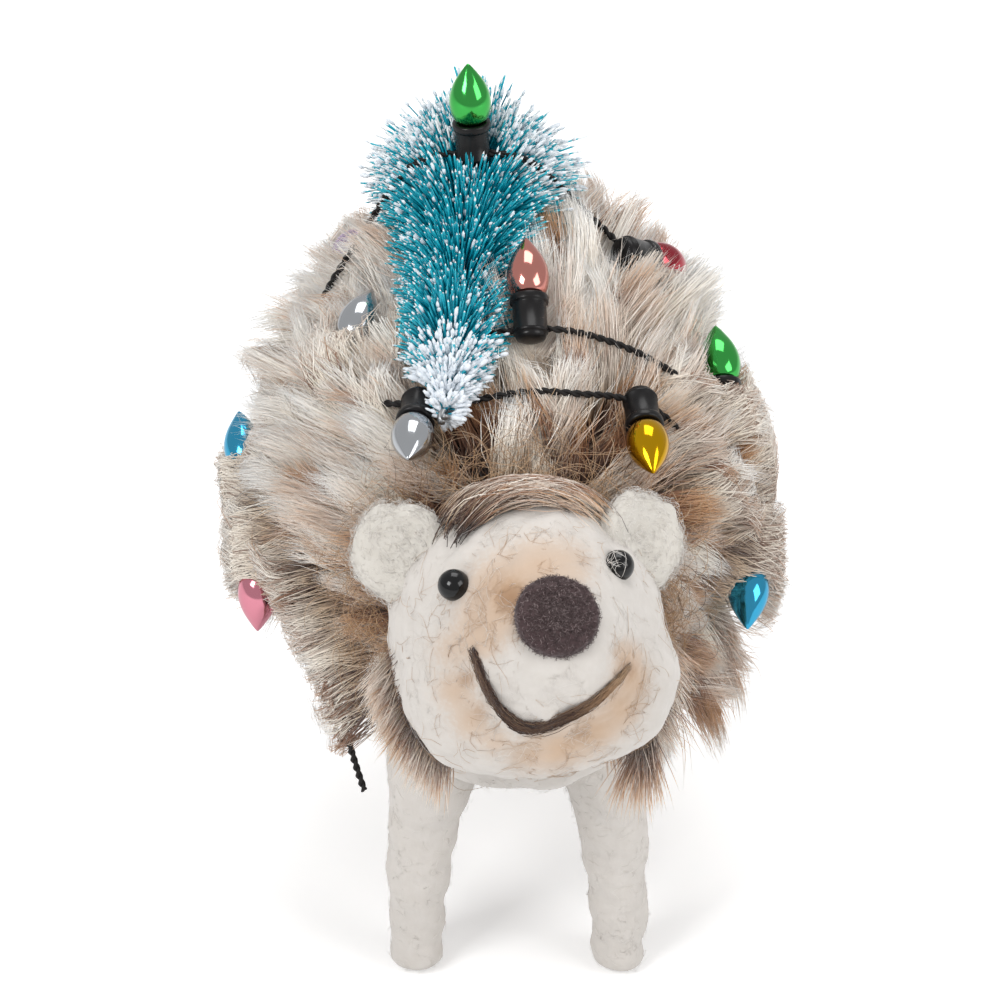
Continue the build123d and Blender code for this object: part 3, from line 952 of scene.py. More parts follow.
@dataclass
class Studio:
    """Camera, lamps, pale floor and plain world."""

    aim: tuple[float, float, float] = (-0.5, 7.3, 64.1)
    elevation_deg: float = 35.0
    distance: float = 900.0
    lens: float = 207.36
    sensor: float = 36.0
    floor_reach: float = 4000.0
    # Place in millimetres, size in millimetres and power in watts of each soft box
    lamps: tuple[tuple[tuple[float, float, float], float, float], ...] = (
        ((-620, -640, 760), 420, 5.6), ((700, -420, 520), 520, 3.0), ((60, 420, 980), 600, 3.8),
    )
    world_strength: float = 0.6
    # How much the floor glows to the camera, so that it is white outside the shadow
    floor_glow: float = 0.3

    def put(self, item: Object, place: Vector, way: Vector) -> None:
        """Puts a camera or lamp at a place in millimetres, looking along a way."""
        item.location = place * MM
        item.rotation_euler = way.to_track_quat("-Z", "Y").to_euler()

    def add_camera(self) -> None:
        """Puts the camera where the photograph was taken from."""
        data = bpy.data.cameras.new("photo_camera")
        data.lens = self.lens
        data.sensor_width = self.sensor
        data.clip_end = 100
        item = add_object("photo_camera", data)
        rise = math.radians(self.elevation_deg)
        forward = Vector((0, math.cos(rise), -math.sin(rise)))
        self.put(item, Vector(self.aim) - self.distance * forward, forward)
        bpy.context.scene.camera = item

    def add_lamps(self) -> None:
        """Hangs the soft boxes, each aimed at the figurine."""
        for number, (place, size, power) in enumerate(self.lamps):
            data = bpy.data.lights.new(f"soft_box_{number}", "AREA")
            data.size = size * MM
            data.energy = power
            self.put(add_object(f"soft_box_{number}", data), Vector(place), Vector(self.aim) - Vector(place))

    def white_rays(self, tree: NodeTree) -> NodeSocket:
        """An output that is one for rays that should meet the white background: camera and transmission."""
        rays = add_node(tree, "ShaderNodeLightPath").outputs
        return add_node(
            tree, "ShaderNodeMath", {"operation": "MAXIMUM"},
            links={0: rays["Is Camera Ray"], 1: rays["Is Transmission Ray"]},
        ).outputs[0]

    def add_world(self) -> None:
        """A white backdrop that lights the figurine at a plain level."""
        world = bpy.data.worlds.new("plain_white")
        tree = empty_tree(world)
        strength = add_node(
            tree, "ShaderNodeMapRange", values={"To Min": self.world_strength, "To Max": 1.0},
            links={"Value": self.white_rays(tree)},
        )
        light = add_node(tree, "ShaderNodeBackground", links={"Strength": strength.outputs["Result"]})
        light.inputs["Color"].default_value = (1, 1, 1, 1)
        add_node(tree, "ShaderNodeOutputWorld", links={"Surface": light.outputs["Background"]})
        bpy.context.scene.world = world

    def add_floor(self) -> None:
        """A pale floor that keeps a soft shadow and is white to the camera elsewhere."""
        reach = self.floor_reach
        corners = reach * np.array([[-1, -1, 0], [1, -1, 0], [1, 1, 0], [-1, 1, 0]])
        mesh = mesh_of(corners, np.array([[0, 1, 2, 3]]), np.zeros((0, 3), int))
        material = bpy.data.materials.new("pale_matt_board")
        tree = empty_tree(material)
        board = add_node(tree, "ShaderNodeBsdfDiffuse", values={"Color": linear("F2F2F2")})
        white = self.white_rays(tree)
        lift = add_node(tree, "ShaderNodeMath", {"operation": "MULTIPLY"}, {1: self.floor_glow}, {0: white})
        glow = add_node(tree, "ShaderNodeEmission", links={"Strength": lift.outputs[0]})
        both = add_node(tree, "ShaderNodeAddShader", links={0: board.outputs[0], 1: glow.outputs[0]})
        add_node(tree, "ShaderNodeOutputMaterial", links={"Surface": both.outputs[0]})
        mesh.materials.append(material)
        add_object("pale_floor", mesh)

    def build(self) -> None:
        """The whole studio."""
        self.add_camera()
        self.add_lamps()
        self.add_world()
        self.add_floor()
        bpy.context.scene.view_settings.view_transform = "Standard"


# Light string


@dataclass
class LightString:
    """One cord wound round body and tree, with a socket and a plated bulb at each light."""

    coat: CoatForm
    tree: TreeForm
    cord_diameter: float = 1.2
    cord_length: float = 606.0
    cord_lift: float = 3.5
    twist_pitch: float = 3.4
    cord_step: float = 0.5
    # Radius of a ply as a share of the cord's diameter: over a quarter, since the two press together
    ply_share: float = 0.27
    ply_sides: int = 8
    socket_radius: float = 2.7
    socket_rim_radius: float = 2.95
    bore_radius: float = 2.05
    socket_low: float = -1.7
    mouth: float = 5.3
    bulb_radius: float = 3.2
    bulb_length: float = 9.6
    round_sides: int = 48
    # The route in four passes: share of the coat's reach, degrees from the top, and lifts of the cord over it
    front_pass: tuple = (
        (-0.55, -148, 3.7), (-0.60, -138, 2.45), (-0.66, -118, 1), (-0.68, -102, 1), (-0.52, -90, 1),
        (-0.36, -88, 1), (-0.20, -92, 1), (-0.19, -101, 1), (-0.12, -110, 1), (0.02, -108, 1), (0.01, -97, 1),
        (-0.08, -86, 1), (-0.16, -62, 1), (-0.32, -44, 1.2), (-0.46, -29, 1.7), (-0.50, -13, 0.9),
        (-0.475, -3, 0.6), (-0.46, 8, 0.9), (-0.45, 19, 1), (-0.41, 29, 1), (-0.38, 41, 1.1),
    )
    middle_pass: tuple = (
        (-0.40, 57, 1), (-0.38, 73, 1), (-0.29, 86, 1), (-0.18, 98, 1.1), (-0.09, 106, 1.2), (0.02, 105, 1.5),
        (0.07, 94, 1.6), (0.03, 79, 1.4), (-0.09, 68, 1), (-0.19, 55, 1), (-0.21, 40, 1), (-0.23, 27, 1.1),
        (-0.255, 13, 1.4), (-0.265, -1, 1), (-0.28, -16, 0.8), (-0.28, -34, 1), (-0.17, -47, 1.1),
        (0.02, -50, 1), (0.20, -45, 1.3), (0.31, -33, 2.05),
    )
    # Over the tree: share of the stem, degrees round it, and lifts by which the cord sinks into the bristles
    tree_pass: tuple = ((0.20, 155, 0.5), (0.195, 122, 0.5), (0.195, 56, 0.1), (0.15, 14, 0.3))
    rear_pass: tuple = (
        (0.39, 17, 2.0), (0.365, 26, 1.3), (0.21, 35, 1.1), (0.26, 48, 1), (0.48, 56, 1), (0.66, 61, 1),
        (0.82, 56, 1.1), (0.93, 25, 1.9), (0.93, -21, 1.9), (0.70, -56, 1), (0.54, -64, 1), (0.38, -66, 1),
        (0.28, -78, 1), (0.34, -94, 1.1), (0.45, -106, 1.1), (0.38, -118, 1), (0.22, -124, 1),
        (0.06, -130, 1),
    )
    # Number, run of the route, lean of the bulb in degrees, and plating
    lights: tuple = (
        ("01", 5, -88, Hue.PINK), ("02", 10, -82, Hue.LIGHT_BLUE), ("03", 14, 87, Hue.SILVER),
        ("04", 19, 95, Hue.GOLD), ("05", 23, 91, Hue.LIGHT_BLUE), ("06", 29, 80, Hue.GREEN),
        ("07", 33, 55, Hue.ROSE), ("08", 36, 81, Hue.SILVER), ("09", 42, -12, Hue.GREEN),
        ("10", 46, -99, Hue.RED), ("11", 52, 170, Hue.GOLD), ("12", 54, -74, Hue.PURPLE),
        ("13", 58, -75, Hue.RED),
    )
    # Lights sunk in the pile, each with the height up to which it is covered, and lights covered whole
    sunk_lights: tuple = (("01", 8.5), ("02", 9.5), ("05", 8.5), ("06", 6.0), ("08", 7.5), ("12", 11.0))
    buried_lights: tuple = ("11", "13")
    # How far over its cover a sunk bulb starts to hold the pile off
    bare_from: float = 2.6
    # Rows of the route where the cord lies on the pile instead of in it
    shown_rows: tuple = ((0, 1.1), (14.5, 20.2), (31, 35.2), (39, 46.6))
    # Radius and height shares of a bulb, from its neck to its tip
    bulb_outline: tuple = (
        (0.66, 0.0), (0.80, 0.05), (0.92, 0.14), (0.99, 0.26), (1.0, 0.36), (0.955, 0.47), (0.84, 0.59),
        (0.68, 0.70), (0.49, 0.80), (0.30, 0.89), (0.14, 0.96), (0.04, 0.995),
    )

    def route(self) -> Array:
        """Works out the route's points, as the part's source has them.

        Returns:
            One point for each row.
        """
        passes = (
            (self.coat, self.front_pass), (self.coat, self.middle_pass), (self.tree, self.tree_pass),
            (self.coat, self.rear_pass),
        )
        return np.array([
            form.over(along, around, self.cord_lift * lift)
            for form, rows in passes for along, around, lift in rows
        ])

    def line(self) -> Array:
        """Lays a NURBS spline on the route.

        Returns:
            Points of the cord's smooth middle line.
        """
        route = self.route()
        curve = bpy.data.curves.new("light_cord_line", "CURVE")
        curve.dimensions = "3D"
        curve.resolution_u = 12
        spline = curve.splines.new("NURBS")
        spline.points.add(len(route) - 1)
        for point, place in zip(spline.points, route * MM):
            point.co = (*place, 1)
        spline.order_u = 3
        spline.use_endpoint_u = True
        item = add_object("light_cord_line", curve)
        bpy.context.view_layer.update()
        mesh = bpy.data.meshes.new_from_object(item)
        places = np.zeros(len(mesh.vertices) * 3, np.float32)
        mesh.vertices.foreach_get("co", places)
        bpy.data.objects.remove(item)
        bpy.data.curves.remove(curve)
        bpy.data.meshes.remove(mesh)
        return places.reshape(-1, 3).astype(float) / MM

    def seat(self, run: int, lean_deg: float) -> Placing:
        """A light's placing.

        Args:
            run: Number of the route's run that it hangs on.
            lean_deg: How far the bulb leans round the cord from straight outward.

        Returns:
            The placing at the middle of the run, side along the cord and out along the bulb.
        """
        route = self.route()
        along = unit(route[run + 1] - route[run])
        middle = (route[run] + route[run + 1]) / 2
        first = len(self.front_pass) + len(self.middle_pass)
        on_tree = first <= run < first + len(self.tree_pass)
        trunk = self.tree.seat if on_tree else placing(self.coat.middle, [0, 1, 0], [1, 0, 0])
        outward = middle - trunk.origin - trunk.out * ((middle - trunk.origin) @ trunk.out)
        outward = unit(outward - along * (outward @ along))
        lean = math.radians(lean_deg)
        way = outward * math.cos(lean) + np.cross(along, outward) * math.sin(lean)
        return placing(middle, way, along)

    def plies(self, line: Array) -> tuple[list[Tube], Array]:
        """Twists the cord.

        Args:
            line: Points of its middle line.

        Returns:
            Its two plies, and the evenly spaced middle line that they follow.
        """
        walked = walked_along(line)
        count = int(walked[-1] / self.cord_step)
        wanted = np.linspace(0, walked[-1], count)
        path = np.stack([np.interp(wanted, walked, line[:, axis]) for axis in range(3)], -1)
        ways = unit(np.gradient(path, axis=0))
        across = np.zeros_like(path)
        across[0] = unit(np.cross(ways[0], [0.3, 0.2, 1.0]))
        for step in range(1, count):
            across[step] = unit(across[step - 1] - ways[step] * (across[step - 1] @ ways[step]))
        over = np.cross(ways, across)
        spokes = spokes_of(across, over, self.ply_sides)
        ply_radius = self.cord_diameter * self.ply_share
        offset = self.cord_diameter / 2 - ply_radius
        tubes = []
        for half in (0, math.pi):
            twist = wanted / self.twist_pitch * math.tau + half
            middle = path + offset * (across * np.cos(twist)[:, None] + over * np.sin(twist)[:, None])
            tubes.append(Tube(middle[:, None] + ply_radius * spokes, middle[0], middle[-1]))
        return tubes, path

    def socket(self, seat: Placing) -> Tube:
        """A cup with a rim round its mouth, a stepped domed foot and a bore for the bulb.

        Args:
            seat: The light's placing.

        Returns:
            The cup.
        """
        radius, rim, bore = self.socket_radius, self.socket_rim_radius, self.bore_radius
        low, mouth = self.socket_low, self.mouth
        profile = (
            (0.9, low - 0.25), (1.7, low - 0.15), (2.2, low + 0.1), (2.32, low + 0.4), (2.34, low + 0.75),
            (2.5, low + 0.82), (2.66, low + 0.95), (radius, low + 1.15), (radius, low + 1.4),
            (2.58, low + 1.5), (2.58, mouth - 1.45), (2.6, mouth - 1.3), (rim - 0.06, mouth - 1.2),
            (rim, mouth - 1.0), (rim, mouth - 0.3), (rim - 0.08, mouth - 0.08), (rim - 0.3, mouth),
            (bore + 0.2, mouth),
            (bore + 0.05, mouth - 0.12), (bore, mouth - 0.5), (bore, mouth - 1.6),
        )
        return turned(seat, np.array(profile), self.round_sides)

    def bulb(self, seat: Placing) -> Tube:
        """A pointed teardrop on a neck that goes into the socket.

        Args:
            seat: The light's placing.

        Returns:
            The bulb.
        """
        mouth, bore = self.mouth, self.bore_radius
        outline = np.array(self.bulb_outline) * [self.bulb_radius, self.bulb_length] + [0, mouth]
        neck = [(bore - 0.1, mouth - 1.4), (bore - 0.05, mouth - 0.25)]
        profile = np.concatenate([np.array(neck), smooth_profile(outline, 40)])
        return turned(seat, profile, self.round_sides)

    def shown(self, line: Array) -> Array:
        """Finds where the cord lies on the pile.

        Args:
            line: Points of its middle line.

        Returns:
            True for each point where it does.
        """
        rows = np.linspace(0.5, len(self.route()) - 1.5, len(line))
        return np.any([(rows >= first) & (rows <= last) for first, last in self.shown_rows], axis=0)

    def cord_places(self) -> Array:
        """Middle points of the cord where it lies on the pile, for the pile to go under."""
        line = self.line()
        return line[self.shown(line)][::3]

    def hidden_places(self) -> tuple[Array, Array]:
        """Finds what the pile covers.

        Returns:
            Middle points of the covered cord and the sunk sockets, and how thick each is.
        """
        line = self.line()
        places = [line[~self.shown(line)]]
        thick = [np.full(len(places[0]), self.cord_diameter / 2)]
        covers = dict(self.sunk_lights)
        for number, run, lean, _ in self.lights:
            if number in covers:
                seat = self.seat(run, lean)
                heights = np.repeat(np.linspace(self.socket_low, covers[number], 14), 3)
                places.append(seat.origin + heights[:, None] * seat.out)
                thick.append(np.full(len(heights), self.bulb_radius))
        return np.concatenate(places), np.concatenate(thick)

    def build(self) -> tuple[list, list]:
        """All the pieces of the string.

        Returns:
            Foot, tip and radius of each light, and of the part of each light that the pile leaves free.
        """
        capsules, free, sockets = [], [], []
        socket_material = SOCKET.build()
        covers, plating = dict(self.sunk_lights), {}
        end = self.mouth + self.bulb_length
        for number, run, lean, hue in self.lights:
            seat = self.seat(run, lean)
            cup, bulb = tube_mesh([self.socket(seat)]), tube_mesh([self.bulb(seat)])
            nodes = (f"socket_{number}",)
            sockets.append(add_piece(f"cup_socket_{number}", cup, SOCKET, nodes, socket_material))
            colour = hue.name.lower()
            finish = PlatedFinish(f"plated_plastic_{colour}", f"plated_{colour}", 0.07, 1.0, hue=hue)
            if hue not in plating:
                plating[hue] = finish.build()
            add_piece(f"plated_bulb_{number}", bulb, finish, (f"bulb_{number}",), plating[hue])
            foot = seat.origin + seat.out * self.socket_low
            tip = seat.origin + seat.out * end
            capsules.append((foot, tip, self.bulb_radius))
            if number in covers:
                bare = min(covers[number] + self.bare_from, end - 1)
                free.append((seat.origin + seat.out * bare, tip, self.bulb_radius))
            elif number not in self.buried_lights:
                free.append((foot, tip, self.bulb_radius))
        tubes, path = self.plies(self.line()[::-1])
        item = add_piece("twisted_cord", tube_mesh(tubes), CORD, ("light_cord",))
        return capsules, free


def capsule_gap(places: Array, foot: Array, tip: Array) -> tuple[Array, Array]:
    """Measures points from a straight.

    Args:
        places: The points.
        foot: The straight's start.
        tip: Its end.

    Returns:
        Each point's distance from it, and the nearest place on it.
    """
    run = tip - foot
    share = np.clip(((places - foot) @ run) / (run @ run), 0, 1)
    nearest = foot + share[..., None] * run
    return np.linalg.norm(places - nearest, axis=-1), nearest


# Bottle-brush tree


@dataclass
class BrushTree:
    """Nylon bristles held in a twisted wire, with white flock on their ends."""

    coat: CoatForm
    form: TreeForm
    capsules: list
    cord_places: Array
    bristle_count: int = 8200
    bristle_radius: float = 0.15
    bristle_pitch: float = 4.6
    # Where along a bristle its steps lie; the last is the flocked end
    step_shares: tuple = (0.0, 0.42, 0.78, 0.96, 1.0)
    flock_count: int = 7500
    wire_radius: float = 0.5
    wire_pitch: float = 4.6
    stub: float = 5.0
    wire_sides: int = 10

    def bristle_lines(self) -> tuple[Array, Array, Array]:
        """Draws the bristles, with more of them near the base and a swell of flock at the tip.

        Returns:
            Their middle lines, shades and stem shares.
        """
        draw = np.random.default_rng(11)
        count = self.bristle_count
        share = 1 - np.sqrt(draw.uniform(0, 1, count) * 0.97)
        share = np.where(draw.uniform(0, 1, count) < 0.35, draw.uniform(0, 1, count), share)
        along = share * self.form.length
        around = math.tau * along / self.bristle_pitch + math.pi * draw.integers(0, 2, count)
        around += draw.normal(0, 0.35, count)
        swell = np.clip((share - 0.6) / 0.16, 0, 1) * np.clip((1.02 - share) / 0.14, 0, 1)
        lean = np.radians(draw.normal(-3, 7, count) - 16 * swell)
        crown = np.clip(1 - share / 0.16, 0, 1) * np.clip(np.sin(around), 0, 1) * np.abs(np.cos(around))
        reach = self.form.radius(share) * (1 + 0.42 * swell - 0.5 * crown) / np.cos(lean)
        reach = reach * draw.uniform(0.82, 1.06, count)
        way = np.stack([np.cos(lean) * np.cos(around), np.cos(lean) * np.sin(around), np.sin(lean)], -1)
        trunk = self.form.seat
        start = trunk.at(np.stack([along * 0, along * 0, along], -1))
        turned_way = trunk.at(way) - trunk.origin
        # Bristles stop at lights and cord, and the lower ones end in the pile
        checks = np.linspace(0.1, 1, 14)
        places = start[:, None] + turned_way[:, None] * (reach[:, None] * checks)[..., None]
        blocked = self.coat.height(places) < 0.5
        for foot, tip, radius in self.capsules:
            blocked |= capsule_gap(places, foot, tip)[0] < radius + 0.3
        stem_middle = trunk.at(np.array([0, 0, self.form.length / 2]))
        near = np.linalg.norm(self.cord_places - stem_middle, axis=1) < self.form.length
        for place in self.cord_places[near]:
            blocked |= np.linalg.norm(places - place, axis=-1) < 1.0
        first = np.where(blocked.any(axis=1), checks[np.argmax(blocked, axis=1)] - 0.06, 1.0)
        reach = reach * np.clip(first, 0.05, 1)
        keep = reach > 1.0
        bend = draw.normal(0, 0.05, (count, 3)) + np.array([0, 0, 0.03])
        grid = np.array(self.step_shares)
        lines = start[:, None] + turned_way[:, None] * (reach[:, None] * grid)[..., None]
        lines = lines + bend[:, None] * (reach[:, None] * grid**2)[..., None]
        height = np.sin(around)
        sideways = np.abs(turned_way[:, 0]) > 0.72
        edge = (share < 0.24) & (height > -0.3)
        plain = draw.uniform(0, 1, count) < 0.62 - 0.57 * (edge | sideways)
        snow = np.where(plain, 0.0, draw.uniform(0.1, 0.75, count) + 0.4 * edge) + 0.85 * self.at_tip(share)
        shade = np.clip(snow, 0, 1)
        return lines[keep], shade[keep], share[keep]

    def at_tip(self, share: Array) -> Array:
        """From 0 to 1, how much places at shares of the stem belong to its snowy tip."""
        return np.clip((share - 0.8) / 0.12, 0, 1)

    def flock(self, lines: Array, share: Array) -> tuple[Array, Array]:
        """Small lumps of flock on the outer part of the bristles, each a stretched icosahedron.

        Args:
            lines: Middle lines of the bristles.
            share: Stem share of each.

        Returns:
            The lumps' points and triangles.
        """
        draw = np.random.default_rng(12)
        weight = 0.2 + 8.0 * self.at_tip(share) + 1.6 * (share < 0.2)
        count = self.flock_count
        chosen = draw.choice(len(lines), count, p=weight / weight.sum())
        place = np.where(share[chosen] > 0.84, draw.uniform(0.5, 1.02, count), draw.uniform(0.78, 1.0, count))
        root, tip = lines[chosen, 0], lines[chosen, -1]
        middle = root + (tip - root) * place[:, None]
        along = unit(tip - root)
        golden = (1 + math.sqrt(5)) / 2
        corners = unit(np.array([
            (-1, golden, 0), (1, golden, 0), (-1, -golden, 0), (1, -golden, 0), (0, -1, golden),
            (0, 1, golden), (0, -1, -golden), (0, 1, -golden), (golden, 0, -1), (golden, 0, 1),
            (-golden, 0, -1), (-golden, 0, 1),
        ]))
        faces = np.array([
            (0, 11, 5), (0, 5, 1), (0, 1, 7), (0, 7, 10), (0, 10, 11), (1, 5, 9), (5, 11, 4), (11, 10, 2),
            (10, 7, 6), (7, 1, 8), (3, 9, 4), (3, 4, 2), (3, 2, 6), (3, 6, 8), (3, 8, 9), (4, 9, 5),
            (2, 4, 11), (6, 2, 10), (8, 6, 7), (9, 8, 1),
        ])
        size = draw.uniform(0.13, 0.34, count) * np.where(draw.uniform(0, 1, count) < 0.1, 1.5, 1)
        lump = corners[None] * size[:, None, None] * draw.uniform(0.7, 1.25, (count, len(corners), 1))
        lump = lump + along[:, None] * (lump @ along[..., None]) * draw.uniform(0.4, 2.2, (count, 1, 1))
        places = (middle[:, None] + lump).reshape(-1, 3)
        triangles = (faces[None] + np.arange(count)[:, None, None] * len(corners)).reshape(-1, 3)
        return places, triangles

    def wire(self) -> list[Tube]:
        """Two wires twisted round each other along the stem.

        Returns:
            One tube for each.
        """
        trunk = self.form.seat
        along = np.arange(-self.stub, self.form.length + 1.5, 0.5)
        ring = ring_of(self.wire_sides) * self.wire_radius
        tubes = []
        for half in (0, math.pi):
            twist = along / self.wire_pitch * math.tau + half
            middle = np.stack([np.cos(twist) * self.wire_radius, np.sin(twist) * self.wire_radius, along], -1)
            rings = trunk.at(middle[:, None] + ring[None])
            tubes.append(Tube(rings, trunk.at(middle[0]), trunk.at(middle[-1])))
        return tubes

    def build(self) -> None:
        """Bristles, flock and wire."""
        lines, shade, share = self.bristle_lines()
        taper = np.array([1.0, 1.0, 0.95, 0.9, 0.5])
        # Flock makes the outer end of a snowy bristle thicker
        flocked = np.array([0, 0, 0.5, 1, 1])
        radii = self.bristle_radius * taper[None] * (1 + 0.4 * (shade[:, None] > 0.3) * flocked)
        add_piece("brush_bristles", strand_mesh(lines, radii, shade), BRISTLE, ("tree_bristles",))
        places, triangles = self.flock(lines, share)
        add_piece("tree_flock", mesh_of(places, np.zeros((0, 4), int), triangles), SNOW)
        add_piece("twisted_wire", tube_mesh(self.wire()), WIRE, ("tree_wire",))


# Loose fibres


@dataclass(frozen=True)
class Fuzz:
    """Loose curly fibres that lie on a surface."""

    name: str
    finish: StrandFinish
    count: int
    length: float
    radius: float = 0.05
    curl: float = 0.7
    lift: float = 0.25
    steps: int = 7
    dark_share: float = 0.0
    seed: int = 1
    # No fibre goes lower than this, so none is under the floor
    lowest: float = 0.06

    def build(
        self, roots: Array, normals: Array, follow: Callable[[Array, Array], Array] | None = None,
        material: Material | None = None,
    ) -> None:
        """Lays the fibres.

        Args:
            roots: Where fibres may start.
            normals: The way out of the surface at each of those places.
            follow: Moves points to a height over the surface, or None for a surface that is near flat.
            material: The material, where it is already built.
        """
        draw = np.random.default_rng(self.seed)
        chosen = draw.integers(0, len(roots), self.count)
        root, out = roots[chosen], normals[chosen]
        way = unit(np.cross(out, draw.normal(size=(self.count, 3))))
        across = np.cross(out, way)
        length = self.length * draw.uniform(0.5, 1.3, self.count)
        grid = np.linspace(0, 1, self.steps)
        turns = draw.uniform(0.5, 1.4, (self.count, 1)) * math.tau * grid
        turns = turns + draw.uniform(0, math.tau, (self.count, 1))
        curl = self.curl * draw.uniform(0.3, 1.4, (self.count, 1))
        lines = root[:, None] + way[:, None] * (length[:, None] * grid)[..., None]
        lines = lines + across[:, None] * (curl * np.sin(turns))[..., None]
        lines = lines + way[:, None] * (curl * np.cos(turns) * 0.6)[..., None]
        height = self.lift * np.sin(grid * math.pi)[None] * draw.uniform(0, 2.4, (self.count, 1)) + 0.03
        if follow:
            lines = follow(lines, height)
        else:
            lines = lines + out[:, None] * height[..., None]
        lines[..., 2] = np.maximum(lines[..., 2], self.lowest)
        taper = np.array([1.0] * (self.steps - 2) + [0.8, 0.0])
        radii = self.radius * taper[None] * draw.uniform(0.7, 1.2, (self.count, 1))
        dark = draw.uniform(0, 1, self.count) < self.dark_share
        shades = np.where(dark, draw.uniform(0.5, 1, self.count), draw.uniform(0, 0.25, self.count))
        add_piece(self.name, strand_mesh(lines, radii, shades), self.finish, material=material)


def even_points(tube: Tube, ways: Array, seed: int) -> tuple[Array, Array]:
    """Draws points of a turned tube, no denser near its axis than far from it.

    Args:
        tube: The tube.
        ways: The outward way of each of its ring points.
        seed: Seed of the draw.

    Returns:
        The points and their outward ways.
    """
    ring_radii = np.linalg.norm(tube.rings - tube.rings.mean(axis=1, keepdims=True), axis=-1).mean(axis=1)
    draw = np.random.default_rng(seed)
    rows = draw.choice(len(ring_radii), FIBRE_ROOTS, p=ring_radii / ring_radii.sum())
    columns = draw.integers(0, tube.rings.shape[1], FIBRE_ROOTS)
    return tube.rings[rows, columns], ways[rows, columns]


# Head


